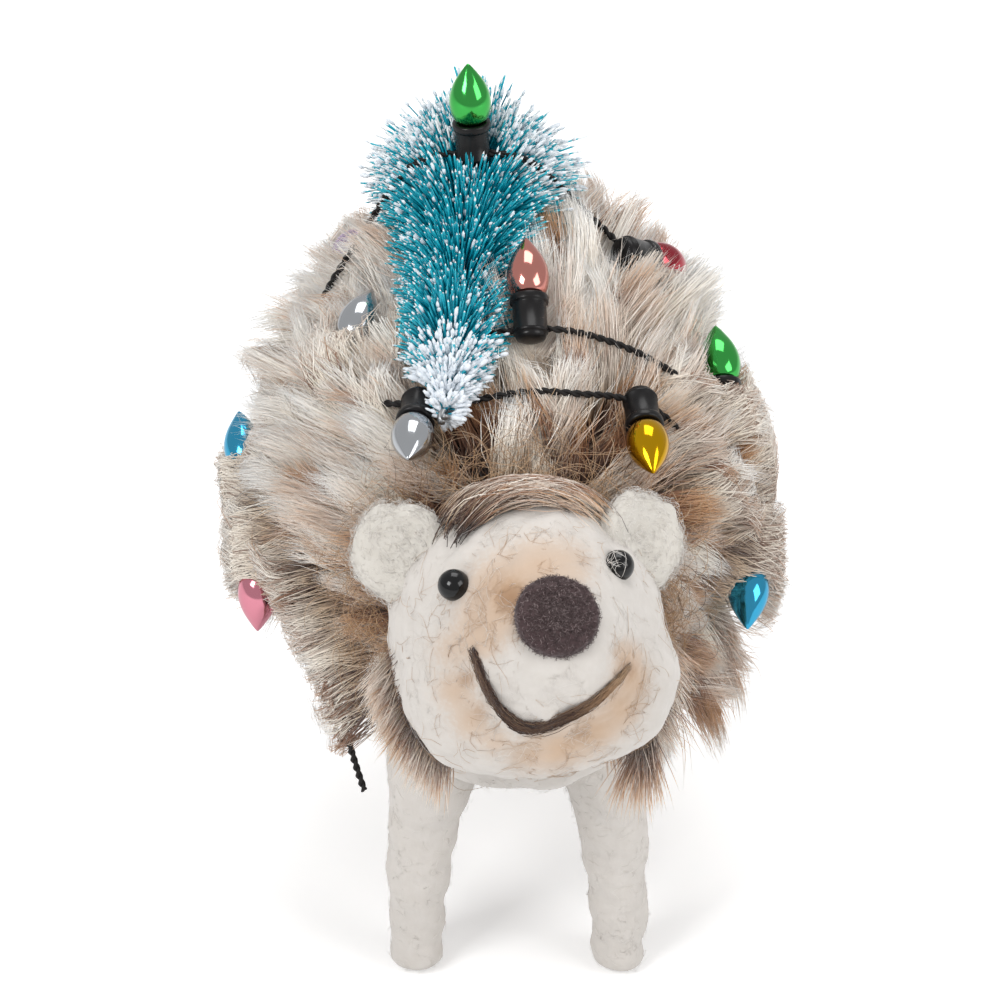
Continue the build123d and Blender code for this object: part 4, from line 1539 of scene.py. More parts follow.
@dataclass
class FeltHead:
    """Felted head with ears, bead eyes, cut nose and rolled smile."""

    form: HeadForm
    rows: int = 200
    columns: int = 300
    ear_thickness: float = 4.4
    ear_shares: tuple = ((-1, 0.80, 0.74, 0.03), (1, 0.82, 0.61, 0.22))
    ear_out_share: float = 0.45
    eye_radius: float = 2.35
    eye_side_share: float = 0.556
    eye_up_share: float = 0.463
    # Side, name and how far the bead's middle stands out of the wool
    eyes: tuple = ((-1, "left", 0.55), (1, "right", 0.15))
    veil_count: int = 16
    nose_thickness: float = 1.6
    nose_rise_deg: float = 20.0
    # Side, up and half width of the smile from its left end to its right end
    smile: tuple = (
        (-11.7, 1.1, 0.4), (-11.2, -0.9, 0.6), (-10.7, -3.6, 0.35), (-9.8, -6.3, 0.42), (-8.5, -8.5, 0.75),
        (-6.4, -10.8, 1.1), (-4.1, -11.8, 1.15), (-2.0, -11.3, 0.95), (0.6, -10.5, 0.7), (3.6, -9.4, 0.5),
        (6.6, -7.5, 0.3), (9.3, -5.5, 0.22), (11.4, -3.8, 0.15),
    )
    # Side, up and reach of each patch of tan wool, and how strong it is
    tints: tuple = (
        (-6.1, 8.6, 5.4, 1.0), (-0.6, 11.2, 5.0, 0.8), (4.7, 11.4, 4.4, 0.6), (-9.5, 4.6, 4.0, 0.75),
        (-11.0, 1.5, 3.0, 0.7), (-14.3, -4.9, 3.2, 0.75), (-14.6, 1.0, 3.0, 0.5), (-12.4, -9.6, 3.4, 0.75),
        (10.6, -3.2, 3.2, 0.85), (11.4, -6.6, 3.6, 0.95), (9.3, -10.6, 3.8, 0.95), (5.3, -13.4, 4.0, 1.0),
        (0.2, -15.2, 4.2, 1.0), (-4.6, -15.4, 3.2, 0.7), (-9.2, -13.2, 2.6, 0.6),
    )
    deep_tints: tuple = (
        (-5.5, 7.4, 3.0, 0.9), (-12.6, -3.4, 1.6, 0.6), (11.0, -5.0, 2.0, 0.6), (-11.2, -8.4, 1.6, 0.5),
        (3.4, -13.4, 1.8, 0.5),
    )

    def skin(self) -> Array:
        """Feels for the wool from the head's middle.

        Returns:
            Rings of points from the back of the head to the muzzle, then the two points that close them.
        """
        face = self.form.face
        polar = np.linspace(math.pi, 0, self.rows + 2)[1:-1]
        ring = ring_of(self.columns)
        ways = np.sin(polar)[:, None, None] * ring
        ways[..., 2] = np.cos(polar)[:, None]
        ways = np.concatenate([ways.reshape(-1, 3), [[0, 0, -1.0], [0, 0, 1.0]]])
        out = face.at(ways) - face.origin
        far = np.full(len(out), self.form.muzzle_reach + self.form.muzzle_radius + 6)
        for _ in range(60):
            far = far - self.form.gap(face.origin + out * far[:, None]) * 0.85
        places = face.origin + out * far[:, None]
        lumps = 0.3 * ripple(places, 8.0, 3) + 0.1 * ripple(places, 3.0, 4) + 0.03 * ripple(places, 1.2, 5)
        return places + self.form.outward(places) * lumps[:, None]

    def tint_at(self, places: Array, patches: tuple) -> Array:
        """How much tan wool lies at points of the face.

        Args:
            places: The points.
            patches: Side, up, reach and strength of each patch of it.

        Returns:
            From 0 to 1 for each point.
        """
        here = self.form.face.seen(places)
        total = np.zeros(len(places))
        for side, up, reach, strength in patches:
            far = np.hypot(here[:, 0] - side, here[:, 1] - up) / reach
            total = 1 - (1 - total) * (1 - strength * np.exp(-far**2 * 1.1))
        return total * (here[:, 2] > 0)

    def add_head(self) -> tuple[Array, Array]:
        """Makes the head's own piece.

        Returns:
            Its points and outward ways, for the loose fibres.
        """
        places = self.skin()
        rings = places[:-2].reshape(self.rows, self.columns, 3)
        mesh = tube_mesh([Tube(rings, places[-2], places[-1])])
        for name, patches in (("tint", self.tints), ("deep_tint", self.deep_tints)):
            layer = mesh.attributes.new(name, "FLOAT", "POINT")
            layer.data.foreach_set("value", self.tint_at(places, patches).astype(np.float32))
        add_piece("felted_head", mesh, WOOL, ("head",))
        return places, self.form.outward(places)

    def add_ears(self) -> tuple[Array, Array]:
        """Makes two dished pads.

        Returns:
            Points and outward ways, for their fibres.
        """
        form, face = self.form, self.form.face
        material = EAR_WOOL.build()
        half = self.ear_thickness / 2
        outline = (
            (0.6, -half - 0.2), (3.4, -half), (5.8, -half + 0.4), (7.0, -half + 1.5), (7.35, 0.1),
            (7.1, half - 0.9), (6.3, half - 0.1), (5.3, half), (4.2, half - 0.2), (2.6, half - 0.55),
            (0.5, half - 0.7),
        )
        all_places, all_ways = [], []
        for side, side_share, up_share, out_share in self.ear_shares:
            centre = face.at(np.array([side * side_share, up_share, out_share]) * form.radius)
            seat = placing(centre, face.out + face.side * (side * self.ear_out_share), face.side)
            tube = turned(seat, smooth_profile(outline, 60), 96)
            ways = unit(tube.rings - seat.origin)
            lumps = 0.3 * ripple(tube.rings, 5.0, 20 + side) + 0.1 * ripple(tube.rings, 1.6, 30 + side)
            tube = tube.lumped(ways, lumps)
            name = "left" if side < 0 else "right"
            add_piece(f"felted_{name}_ear", tube_mesh([tube]), EAR_WOOL, (f"{name}_ear",), material)
            points, point_ways = even_points(tube, ways, 66 + side)
            all_places.append(points)
            all_ways.append(point_ways)
        return np.concatenate(all_places), np.concatenate(all_ways)

    def add_eyes(self) -> None:
        """Glass beads, set into the wool."""
        material = BEAD.build()
        face, form = self.form.face, self.form
        turns = np.linspace(-QUARTER, QUARTER, 34)[1:-1]
        for side, name, stand in self.eyes:
            across, up = self.eye_side_share, self.eye_up_share
            depth = form.radius * math.sqrt(1 - across**2 - up**2)
            seat = face.at(np.array([side * across * form.radius, up * form.radius, depth]))
            out = unit(seat - face.origin)
            centre = form.pushed(seat[None], stand)[0]
            profile = np.stack([np.cos(turns), np.sin(turns)], -1) * self.eye_radius
            mesh = tube_mesh([turned(placing(centre, out, face.side), profile, 48)])
            add_piece(f"{name}_bead", mesh, BEAD, (f"{name}_eye",), material)
        self.add_veil(placing(centre, out, face.side))

    def add_veil(self, seat: Placing) -> None:
        """White wool that lies over the near half of the right bead.

        Args:
            seat: The bead's placing.
        """
        draw = np.random.default_rng(64)
        count = self.veil_count
        around = np.radians(draw.uniform(95, 265, count))
        start = np.stack([np.cos(around), np.sin(around), np.full(count, 0.15)], -1)
        across, up = draw.uniform(-0.9, 0.05, count), draw.uniform(-0.8, 0.8, count)
        end = np.stack([across, up, np.full(count, 0.7)], -1)
        grid = np.linspace(0, 1, 7)[:, None]
        bend = np.cross(start, end)[:, None] * (np.sin(grid * math.pi) * draw.normal(0, 0.5, (count, 1, 1)))
        lines = unit(start[:, None] * (1 - grid) + end[:, None] * grid + bend) * (self.eye_radius + 0.08)
        radii = 0.032 * np.array([1, 1, 1, 1, 1, 0.8, 0])[None] * np.ones((count, 1))
        add_piece("eye_veil", strand_mesh(seat.at(lines), radii, draw.uniform(0, 0.2, count)), WHITE_FIBRE)

    def add_nose(self) -> None:
        """A disc of felt laid on the muzzle, with a fuzzy cut edge."""
        face, form = self.form.face, self.form
        rise = math.radians(self.nose_rise_deg)
        way = face.out * math.cos(rise) + face.up * math.sin(rise)
        tip = face.origin + face.out * form.muzzle_reach
        reach = form.muzzle_radius
        for _ in range(40):
            reach = reach - form.gap((tip + way * reach)[None])[0]
        seat = placing(tip, way, face.side)
        outer = reach + self.nose_thickness
        radii = np.array([0.4, 1.2, 2.2, 3.2, 4.2, 4.9, 5.4, 5.75])
        top = outer - (outer - np.sqrt(outer**2 - radii**2)) * 0.75
        edge = top[-1]
        profile = (
            (0.6, reach - 1.2), (4.0, reach - 1.4), (5.6, edge - 2.1), (6.0, edge - 1.7), (6.1, edge - 1.0),
            (6.0, edge - 0.4), *zip(radii[::-1], top[::-1]),
        )
        tube = turned(seat, smooth_profile(profile, 70), 140)
        ways = unit(tube.rings - tip)
        lumps = 0.1 * ripple(tube.rings, 2.4, 41) + 0.07 * ripple(tube.rings, 0.8, 42)
        tube = tube.lumped(ways, lumps)
        add_piece("cut_felt_nose", tube_mesh([tube]), NOSE_FELT, ("nose",))
        fuzz = Fuzz(
            "nose_fibres", NOSE_FIBRE, 4200, 0.6, radius=0.035, curl=0.15, lift=0.08, steps=5, dark_share=0.2,
            seed=43,
        )
        # The rings before this one lie in the muzzle
        front = slice(18, None)
        fuzz.build(tube.rings[front].reshape(-1, 3), ways[front].reshape(-1, 3))

    def add_smile(self) -> None:
        """A roll of dark wool felted into the face, thick below and thin at its ends."""
        given = np.array(self.smile)
        steps = np.linspace(0, len(given) - 1, 150)
        numbers = np.arange(len(given))
        side, up, half = (evened(np.interp(steps, numbers, given[:, axis]), 13) for axis in range(3))
        line = self.form.on_face(side, up, 0.1)
        ways = unit(np.gradient(line, axis=0))
        out = self.form.outward(line)
        across = unit(np.cross(ways, out))
        ring = ring_of(20)
        spokes = across[:, None] * ring[:, :1] + np.cross(ways, across)[:, None] * ring[:, 1:2] * 0.55
        rings = line[:, None] + spokes * half[:, None, None]
        rings = rings + unit(spokes) * (0.12 * ripple(rings, 1.4, 51) * (half[:, None] > 0.4))[..., None]
        add_piece("rolled_smile", tube_mesh([Tube(rings, line[0], line[-1])]), BROWN_WOOL, ("smile",))
        draw = np.random.default_rng(52)
        count = 1300
        # Each fibre follows the roll over this many of its points
        run = 24
        chosen = draw.integers(0, len(line) - run, count)
        grid = np.linspace(0, run - 1, 7).astype(int)
        lines = line[chosen[:, None] + grid[None]]
        spread = half[chosen][:, None, None] * draw.normal(0, 0.65, (count, 1, 1)) * across[chosen][:, None]
        wander = draw.normal(0, 0.2, (count, 7, 3))
        height = draw.uniform(0.1, 0.75, (count, 1)) * np.ones((1, 7))
        lines = self.form.pushed(lines + spread + wander, height)
        radii = 0.055 * np.array([0.5, 1, 1, 1, 1, 0.7, 0])[None] * np.ones((count, 1))
        shades = np.clip(draw.normal(0.92, 0.15, count) - 0.6 * np.clip((chosen - 88) / 30, 0, 1), 0, 1)
        add_piece("smile_fibres", strand_mesh(lines, radii, shades), BROWN_FIBRE)

    def build(self) -> None:
        """The whole head."""
        places, ways = self.add_head()
        ear_places, ear_ways = self.add_ears()
        self.add_eyes()
        self.add_nose()
        self.add_smile()
        follow = self.form.pushed
        white = WHITE_FIBRE.build()
        front = self.form.face.seen(places)[:, 2] > -9
        fuzz = Fuzz("head_fibres", WHITE_FIBRE, 1000, 5.0, radius=0.02, lift=0.02, dark_share=0.03, seed=61)
        fuzz.build(places[front], ways[front], follow, white)
        fuzz = Fuzz("ear_fibres", WHITE_FIBRE, 3000, 1.6, radius=0.03, curl=0.5, lift=0.3, seed=62)
        fuzz.build(ear_places, ear_ways, None, white)
        here = self.form.face.seen(places)
        rim = (np.hypot(here[:, 0], here[:, 1]) > 16.5) & (here[:, 2] > -6)
        tan = BROWN_FIBRE.build()
        fuzz = Fuzz("rim_fibres", BROWN_FIBRE, 150, 5.0, radius=0.03, curl=1.0, lift=0.3, seed=63)
        fuzz.build(places[rim], ways[rim], follow, tan)
        stained = self.tint_at(places, self.tints) > 0.25
        fuzz = Fuzz("tan_fibres", BROWN_FIBRE, 260, 7.0, radius=0.022, curl=0.9, lift=0.03, seed=65)
        fuzz.build(places[stained], ways[stained], follow, tan)


# Chest, legs and core


@dataclass
class FeltLimbs:
    """Felted chest and legs, and the wool core that carries them."""

    sides: int = 96
    rows: int = 120
    # Name, foot and top of each leg
    legs: tuple = (
        ("front_left", -13.75, -28.0, -8.8, -29.0), ("front_right", 18.3, -28.0, 13.6, -29.0),
        ("rear_left", -14.5, 34.0, -12.0, 31.0), ("rear_right", 14.5, 34.0, 12.0, 31.0),
    )
    leg_top: float = 51.0
    height_shares: tuple = (0.0, 0.25, 0.55, 0.78, 1.0)
    lean_shares: tuple = (0.0, 0.06, 0.30, 0.62, 1.0)
    radii: tuple = (4.0, 4.5, 5.3, 7.2, 8.4)
    chest_half_width: float = 17.0
    chest_radius: float = 11.4
    # The foot's ball: how many rings it has, and its height as a share of its radius
    foot_rings: int = 22
    foot_share: float = 0.62
    foot_height: float = 1.2

    def leg(self, foot_x: float, foot_y: float, top_x: float, top_y: float, seed: int) -> tuple[Tube, Array]:
        """One leg.

        Args:
            foot_x: The foot's place across.
            foot_y: The foot's place along.
            top_x: The top's place across.
            top_y: The top's place along.
            seed: Seed of its lumps.

        Returns:
            The leg's tube and the outward way of each of its points.
        """
        ball = np.sin(np.linspace(0.12, 1, self.foot_rings) * math.pi / 2)
        low = self.radii[0]
        ball_heights = low * (1 - np.sqrt(1 - np.minimum(ball * 0.995, 1) ** 2)) * self.foot_share
        straight = np.linspace(low * self.foot_share + 0.4, self.leg_top, self.rows)
        heights = np.concatenate([ball_heights, straight])
        share = np.clip((heights - self.foot_height) / (self.leg_top - self.foot_height), 0, 1)
        fine = np.linspace(0, 1, 200)
        lean, radius = (
            np.interp(share, fine, evened(np.interp(fine, self.height_shares, corners), 41))
            for corners in (self.lean_shares, self.radii)
        )
        radius[:self.foot_rings] = low * ball
        middle = np.stack([foot_x + (top_x - foot_x) * lean, foot_y + (top_y - foot_y) * lean, heights], -1)
        spokes = ring_of(self.sides)
        rings = middle[:, None] + radius[:, None, None] * spokes[None]
        ways = np.repeat(spokes[None], len(middle), axis=0)
        ways = unit(ways - np.array([0, 0, 1.0]) * np.clip(1 - heights / 2.5, 0, 1)[:, None, None])
        lumps = 0.28 * ripple(rings, 9.0, seed) + 0.07 * ripple(rings, 3.2, seed + 1)
        lumps = lumps + 0.02 * ripple(rings, 1.2, seed + 2)
        # The lumps fade out towards the sole, which stands flat on the floor
        fade = np.clip(heights / 1.5, 0, 1)[:, None]
        tube = Tube(rings, middle[0] * np.array([1, 1, 0]), middle[-1])
        return tube.lumped(spokes[None], lumps * fade), ways

    def build(self) -> None:
        """Chest, legs, core and their fibres."""
        material = WOOL.build()
        places, outs = [], []
        for number, (name, *size) in enumerate(self.legs):
            tube, ways = self.leg(*size, 70 + 5 * number)
            add_piece(f"felted_{name}_leg", tube_mesh([tube]), WOOL, (f"{name}_leg",), material)
            points, point_ways = even_points(tube, ways, 90 + number)
            places.append(points)
            outs.append(point_ways)
        seat = placing(np.array(CHEST), [1, 0, 0], [0, 0, 1])
        turns = np.linspace(-QUARTER, QUARTER, 122)[1:-1]
        radius = self.chest_radius * np.cos(turns) ** 0.8
        profile = np.stack([radius, self.chest_half_width * np.sin(turns)], -1)
        chest = turned(seat, profile, 140)
        ways = unit(chest.rings - seat.origin)
        lumps = 0.35 * ripple(chest.rings, 9.0, 91) + 0.08 * ripple(chest.rings, 3.2, 92)
        chest = chest.lumped(ways, lumps)
        add_piece("felted_chest", tube_mesh([chest]), WOOL, ("chest",), material)
        points, point_ways = even_points(chest, ways, 94)
        front = points[:, 1] < seat.origin[1] + 2
        places.append(points[front])
        outs.append(point_ways[front])
        fuzz = Fuzz("limb_fibres", WHITE_FIBRE, 2600, 2.2, radius=0.024, curl=0.4, lift=0.04, seed=95)
        fuzz.build(np.concatenate(places), np.concatenate(outs))
        # The core lies six millimetres inside the coat all round
        core = CoatForm(radius=30.0, front=43.0, rear=46.0, end_radius=20.0)
        shares = np.sin(np.linspace(-QUARTER, QUARTER, 82)[1:-1])
        radius, along, _, _ = core.surface(shares)
        seat = placing(core.middle, [0, 1, 0], [1, 0, 0])
        tube = turned(seat, np.stack([radius, along], -1), 120)
        lumps = 0.25 * ripple(tube.rings, 9.0, 97) - 0.2
        tube = tube.lumped(unit(tube.rings - core.middle), lumps)
        add_piece("felted_core", tube_mesh([tube]), CORE_WOOL, ("body_core",))


# Fur coat


@dataclass
class Locks:
    """The pile's locks, each with a guide hair that its own hairs gather round."""

    roots: Array
    ways: Array
    lengths: Array
    stands: Array
    lines: Array


@dataclass
class FurCoat:
    """Long-pile pelt: a knitted backing and pile that lies in locks, swept back from the face."""

    coat: CoatForm
    head: HeadForm
    tree: TreeForm
    capsules: list
    cord_places: Array
    # Places that the pile covers, and how thick each is
    hidden: tuple[Array, Array]
    material: Material
    strand_count: int = 136000
    lock_count: int = 1150
    cover_count: int = 26000
    per_piece: int = 8900
    steps: int = 5
    root_lift: float = -4.6
    pile_length: float = 26.0
    pile_radius: float = 0.078
    hem_height: float = 34.0
    start_angle_deg: float = 60.0
    end_angle_deg: float = 10.0
    # Degrees from the top to the pelt's edge, each way, where its ring lies wholly over the hem
    closed_deg: float = 179.2
    backing_rows: int = 90
    backing_columns: int = 180
    # Room round the chest that the pile leaves free, as half widths
    chest_room: tuple = (17.0, 12.5, 12.5)
    # Share of loose hairs, how far they keep to their lock, and how far a lock gathers towards its tip
    loose_share: float = 0.1
    loose_hold: float = 0.15
    gather: float = 0.86
    # Hairs that are pressed down at one time, so that the arrays stay small
    chunk: int = 4000

    def add_backing(self) -> None:
        """The pelt's backing: a sheet over the core, open at the belly."""
        # The pelt stops just short of its two ends
        shares = np.sin(np.linspace(-1, 1, self.backing_rows) * math.pi / 2 * 0.985)
        faces_at = []
        columns = self.backing_columns
        for lift in (self.root_lift + 0.9, self.root_lift - 1.2):
            radius, _, out, _ = self.coat.surface(shares)
            ring = radius + out * lift
            opening = np.degrees(np.arccos(np.clip((self.hem_height - self.coat.middle_z) / ring, -1, 1)))
            opening = np.where(ring > self.coat.middle_z - self.hem_height, opening, self.closed_deg)
            around = np.linspace(-1, 1, columns)[None] * opening[:, None]
            faces_at.append(self.coat.over(np.repeat(shares[:, None], columns, 1), around, lift))
        places = np.concatenate([grid.reshape(-1, 3) for grid in faces_at])
        numbers = np.arange(len(shares) * columns).reshape(-1, columns)
        here = numbers[:-1, :-1].reshape(-1)
        outer = np.stack([here, here + 1, here + columns + 1, here + columns], -1)
        low = numbers.size
        inner = outer[:, ::-1] + low
        edge = np.concatenate([numbers[0], numbers[1:, -1], numbers[-1, -2::-1], numbers[-2:0:-1, 0]])
        after = np.roll(edge, -1)
        rim = np.stack([edge, edge + low, after + low, after], -1)
        quads = np.concatenate([outer[:, ::-1], inner[:, ::-1], rim[:, ::-1]])
        add_piece("pelt_backing", mesh_of(places, quads, np.zeros((0, 3), int)), PELT, ("fur_coat",))

    def roots(self) -> tuple[Array, Array]:
        """Draws where the pile is rooted.

        Returns:
            The roots' places and the way out of the coat there.
        """
        draw = np.random.default_rng(101)
        # More than are wanted, because those in the head, the chest and the belly are left out
        many = int(self.strand_count * 1.6)
        share = draw.uniform(-0.995, 0.99, many)
        around = draw.uniform(-180, 180, many)
        places = self.coat.over(share, around, self.root_lift)
        outs = self.coat.outward(share, around)
        in_chest = np.linalg.norm((places - np.array(CHEST)) / np.array(self.chest_room), axis=1) < 1.0
        in_front = (np.abs(places[:, 0] - CHEST[0]) < 16) & (places[:, 1] < -2) & (places[:, 2] < 48)
        free = (self.head.gap(places) > -0.5) & ~in_chest & ~in_front & (places[:, 2] > self.hem_height + 0.5)
        return places[free][:self.strand_count], outs[free][:self.strand_count]

    def groom(self, places: Array, outs: Array) -> Array:
        """The way that the pile is brushed.

        Args:
            places: Places on the coat.
            outs: The way out of it at each.

        Returns:
            One way for each, flat on the coat.
        """
        face = self.head.face
        from_face = unit(places - (face.origin + face.out * 6))
        flank = np.clip(1 - np.abs(outs[:, 2]), 0, 1)[:, None]
        low = np.clip((62 - places[:, 2:]) / 20, 0, 1)
        down = np.array([0, 0, -1.0]) * (0.15 + 0.3 * flank + 0.9 * low)
        brush = np.array([0, 1.0, 0]) * 0.75 * (1 - 0.5 * low) + from_face * 0.8 + down
        swirl = np.stack([ripple(places, 34.0, 111 + axis) for axis in range(3)], -1) * 0.4
        brush = brush + swirl
        return unit(brush - outs * np.sum(brush * outs, axis=1, keepdims=True))

    def curves(self, places: Array, outs: Array, ways: Array, length: Array, stand: Array) -> Array:
        """Lines that stand up at the root and lie over towards the tip.

        Args:
            places: The roots.
            outs: The way out of the coat at each.
            ways: The way that each is brushed.
            length: Length of each.
            stand: How much each stands up, about 1.

        Returns:
            The lines, as strand, step and place.
        """
        grid = np.linspace(0, 1, self.steps)
        fine = np.linspace(0, 1, 25)
        at_steps = np.rint(grid * 24).astype(int)
        angle = np.radians(self.start_angle_deg + (self.end_angle_deg - self.start_angle_deg) * fine**0.8)
        angle = angle[None] * stand[:, None]
        rise = (np.cumsum(np.sin(angle), axis=1) / len(fine))[:, at_steps]
        run = (np.cumsum(np.cos(angle), axis=1) / len(fine))[:, at_steps]
        rise, run = rise - rise[:, :1], run - run[:, :1]
        lines = places[:, None] + outs[:, None] * (rise * length[:, None])[..., None]
        lines = lines + ways[:, None] * (run * length[:, None])[..., None]
        lines[..., 2] -= 0.1 * length[:, None] * grid[None] ** 2
        return lines

    def press(self, lines: Array, outs: Array) -> Array:
        """Lays the pile down under the cord, the lights and the tree.

        Args:
            lines: The hairs' lines.
            outs: The way out of the coat at each root.

        Returns:
            The lines, laid down.
        """
        lines = lines.copy()
        # The root stays where it is
        movable = np.arange(self.steps)[None] > 0
        for foot, tip, radius in self.capsules:
            near = np.linalg.norm(lines[:, 0] - (foot + tip) / 2, axis=1) < 34
            part, out = lines[near], outs[near][:, None]
            offset = part - capsule_gap(part, foot, tip)[1]
            height = np.sum(offset * out, axis=-1)
            lateral = np.linalg.norm(offset - out * height[..., None], axis=-1)
            reach = np.clip(1 - (lateral - radius - 0.4) / 2.0, 0, 1)
            drop = np.maximum(height + radius + 0.5, 0) * reach * movable
            lines[near] = part - out * drop[..., None]
        for start in range(0, len(lines), self.chunk):
            here = slice(start, start + self.chunk)
            part, out = lines[here], outs[here][:, None]
            best = np.full(part.shape[:2], 1e9)
            height = np.zeros(part.shape[:2])
            lateral = np.full(part.shape[:2], 1e9)
            for place in self.cord_places:
                offset = part - place
                far = np.einsum("ijk,ijk->ij", offset, offset)
                closer = far < best
                if not (closer & (far < 400)).any():
                    continue
                up = np.sum(offset * out, axis=-1)
                best = np.where(closer, far, best)
                height = np.where(closer, up, height)
                lateral = np.where(closer, np.sqrt(np.maximum(far - up**2, 0)), lateral)
            reach = np.clip(1 - (lateral - 1.3) / 3.4, 0, 1)
            drop = np.maximum(height + 0.9, 0) * reach * movable
            lines[here] = part - out * drop[..., None]
        trunk = self.tree.seat
        here = trunk.seen(lines)
        share = np.clip(here[..., 2] / self.tree.length, 0, 1)
        inside = (here[..., 2] > -2) & (here[..., 2] < self.tree.length + 1)
        radius = self.tree.radius(share) * 0.8
        ring = np.hypot(here[..., 0], here[..., 1])
        deep = np.clip(radius - ring, 0, 9) * inside * movable
        return lines - outs[:, None] * deep[..., None] * 0.9

    def covers(self, draw: Draw) -> tuple[Array, Array]:
        """Hair that arches over the sunk sockets and the cord in the pile.

        Args:
            draw: The generator of the pile.

        Returns:
            The hairs' lines, and the number of the lock of each.
        """
        places, thick = self.hidden
        chance = np.where(thick > 1, 2.6, 1.0) * (places[:, 2] > self.hem_height + 4)
        chance = chance * (1 + 1.5 * (places[:, 1] < self.coat.middle_y + 25))
        chosen = np.sort(draw.choice(len(places), self.cover_count, p=chance / chance.sum()))
        count = len(chosen)
        lock = np.arange(count) // 40 * 2 + draw.integers(0, 2, count)
        locks = int(lock.max()) + 1
        here = places[chosen] - self.coat.middle
        around = np.degrees(np.arctan2(here[:, 0], here[:, 2]))
        outs = self.coat.outward(self.coat.share_at(here, 0.99), around)
        way = self.groom(places[chosen], outs)
        turn = np.radians(draw.normal(0, 16, locks)[lock] + draw.normal(0, 8, count))[:, None]
        side = np.cross(outs, way)
        way = way * np.cos(turn) + side * np.sin(turn)
        back = (draw.uniform(6, 11, locks)[lock] * draw.uniform(0.8, 1.2, count))[:, None]
        root = places[chosen] - way * back
        root = root - outs * (self.coat.height(root) - self.root_lift)[:, None]
        over = thick[chosen] * draw.uniform(0.6, 1.0, count) + draw.uniform(0.2, 1.5, count)
        beside = draw.normal(0, 1.0, count) * thick[chosen] ** 0.5
        middle = places[chosen] + outs * over[:, None] + side * beside[:, None]
        ahead = (draw.uniform(8, 13, locks)[lock] * draw.uniform(0.75, 1.1, count))[:, None]
        end = middle + way * ahead - outs * draw.uniform(1.0, 3.5, (count, 1)) - np.array([0, 0, 0.8])
        bend = 2 * middle - (root + end) / 2
        grid = np.linspace(0, 1, self.steps)[None, :, None]
        lines = root[:, None] * (1 - grid) ** 2 + 2 * bend[:, None] * grid * (1 - grid)
        lines = lines + end[:, None] * grid**2
        lines = self.press(lines, outs)
        totals = np.zeros((locks, *lines.shape[1:]))
        np.add.at(totals, lock, lines)
        means = totals / np.maximum(np.bincount(lock, minlength=locks), 1)[:, None, None]
        return lines + (means[lock] - lines) * (0.35 * grid), lock

    def near_face(self, places: Array, reach: float) -> Array:
        """From 1 at the head to 0 far from it, falling off over a reach."""
        return np.exp(-np.clip(self.head.gap(places), 0, 60) / reach)

    def locks(self, draw: Draw, places: Array, outs: Array) -> Locks:
        """Draws the locks that the pile gathers in.

        Args:
            draw: The generator of the pile.
            places: Roots of the pile.
            outs: The way out of the coat at each.

        Returns:
            The locks.
        """
        chosen = draw.permutation(len(places))[:self.lock_count // 1]
        count = len(chosen)
        turn = np.radians(draw.normal(0, 19, count))
        root, out = places[chosen], outs[chosen]
        way = self.groom(root, out)
        way = way * np.cos(turn)[:, None] + np.cross(out, way) * np.sin(turn)[:, None]
        # The coat lies closer on the flanks, and hangs longer at the low right front
        here = root - self.coat.middle
        around = np.degrees(np.arctan2(here[:, 0], here[:, 2]))
        flank = np.clip((np.abs(around) - 48) / 30, 0, 1)
        hang = np.clip((around - 98) / 12, 0, 1) * np.clip((4 - here[:, 1]) / 10, 0, 1)
        share = 1 - 0.46 * flank + 0.52 * hang
        shortened = 1 - 0.25 * self.near_face(root, 7.0)
        length = self.pile_length * share * draw.uniform(0.8, 1.16, count) * shortened
        stand = draw.uniform(0.64, 1.14, count) * (1 - 0.12 * flank) + 0.24 * hang
        return Locks(root, way, length, stand, self.curves(root, out, way, length, stand))

    def pile(self, draw: Draw, places: Array, outs: Array, locks: Locks) -> tuple[Array, Array]:
        """Hair that gathers round the locks and lies down under whatever is on the coat.

        Args:
            draw: The generator of the pile.
            places: Roots of the pile.
            outs: The way out of the coat at each.
            locks: The locks.

        Returns:
            The hairs' lines, and the number of the lock of each.
        """
        count = len(places)
        index = kdtree.KDTree(len(locks.roots))
        for number, place in enumerate(locks.roots):
            index.insert(Vector(place), number)
        index.balance()
        wobble = places + draw.normal(0, 0.5, places.shape)
        owner = np.array([index.find(Vector(place))[1] for place in wobble])
        grid = np.linspace(0, 1, self.steps)
        turn = np.radians(draw.normal(0, 13, count))
        way = locks.ways[owner] * np.cos(turn)[:, None]
        way = unit(way + np.cross(outs, locks.ways[owner]) * np.sin(turn)[:, None])
        length = locks.lengths[owner] * draw.uniform(0.78, 1.04, count)
        own = self.curves(places, outs, way, length, locks.stands[owner] * draw.uniform(0.9, 1.1, count))
        offset = places - locks.roots[owner]
        gathered = locks.lines[owner] + offset[:, None] * (1 - self.gather * grid**1.2)[None, :, None]
        scale = (length / locks.lengths[owner])[:, None, None]
        gathered = places[:, None] + (gathered - places[:, None]) * scale
        loose = draw.uniform(0, 1, count) < self.loose_share
        hold = np.where(loose, self.loose_hold, draw.uniform(0.6, 0.95, count))[:, None, None]
        hold = hold * (grid > 0)[None, :, None]
        lines = own * (1 - hold) + gathered * hold
        # The hair curls more near the face
        curl = (0.35 + 1.8 * self.near_face(places, 7.0))[:, None] * draw.uniform(0.2, 1.2, (count, 1))
        curl = curl * grid[None]
        phase = draw.uniform(0, math.tau, (count, 1)) + grid[None] * draw.uniform(3, 8, (count, 1))
        lines = lines + np.cross(outs, way)[:, None] * (curl * np.sin(phase))[..., None]
        lines = self.press(lines, outs)
        inside = np.clip(0.25 - self.head.gap(lines), 0, 30) * (grid > 0)[None]
        return lines + self.head.outward(lines) * inside[..., None], owner

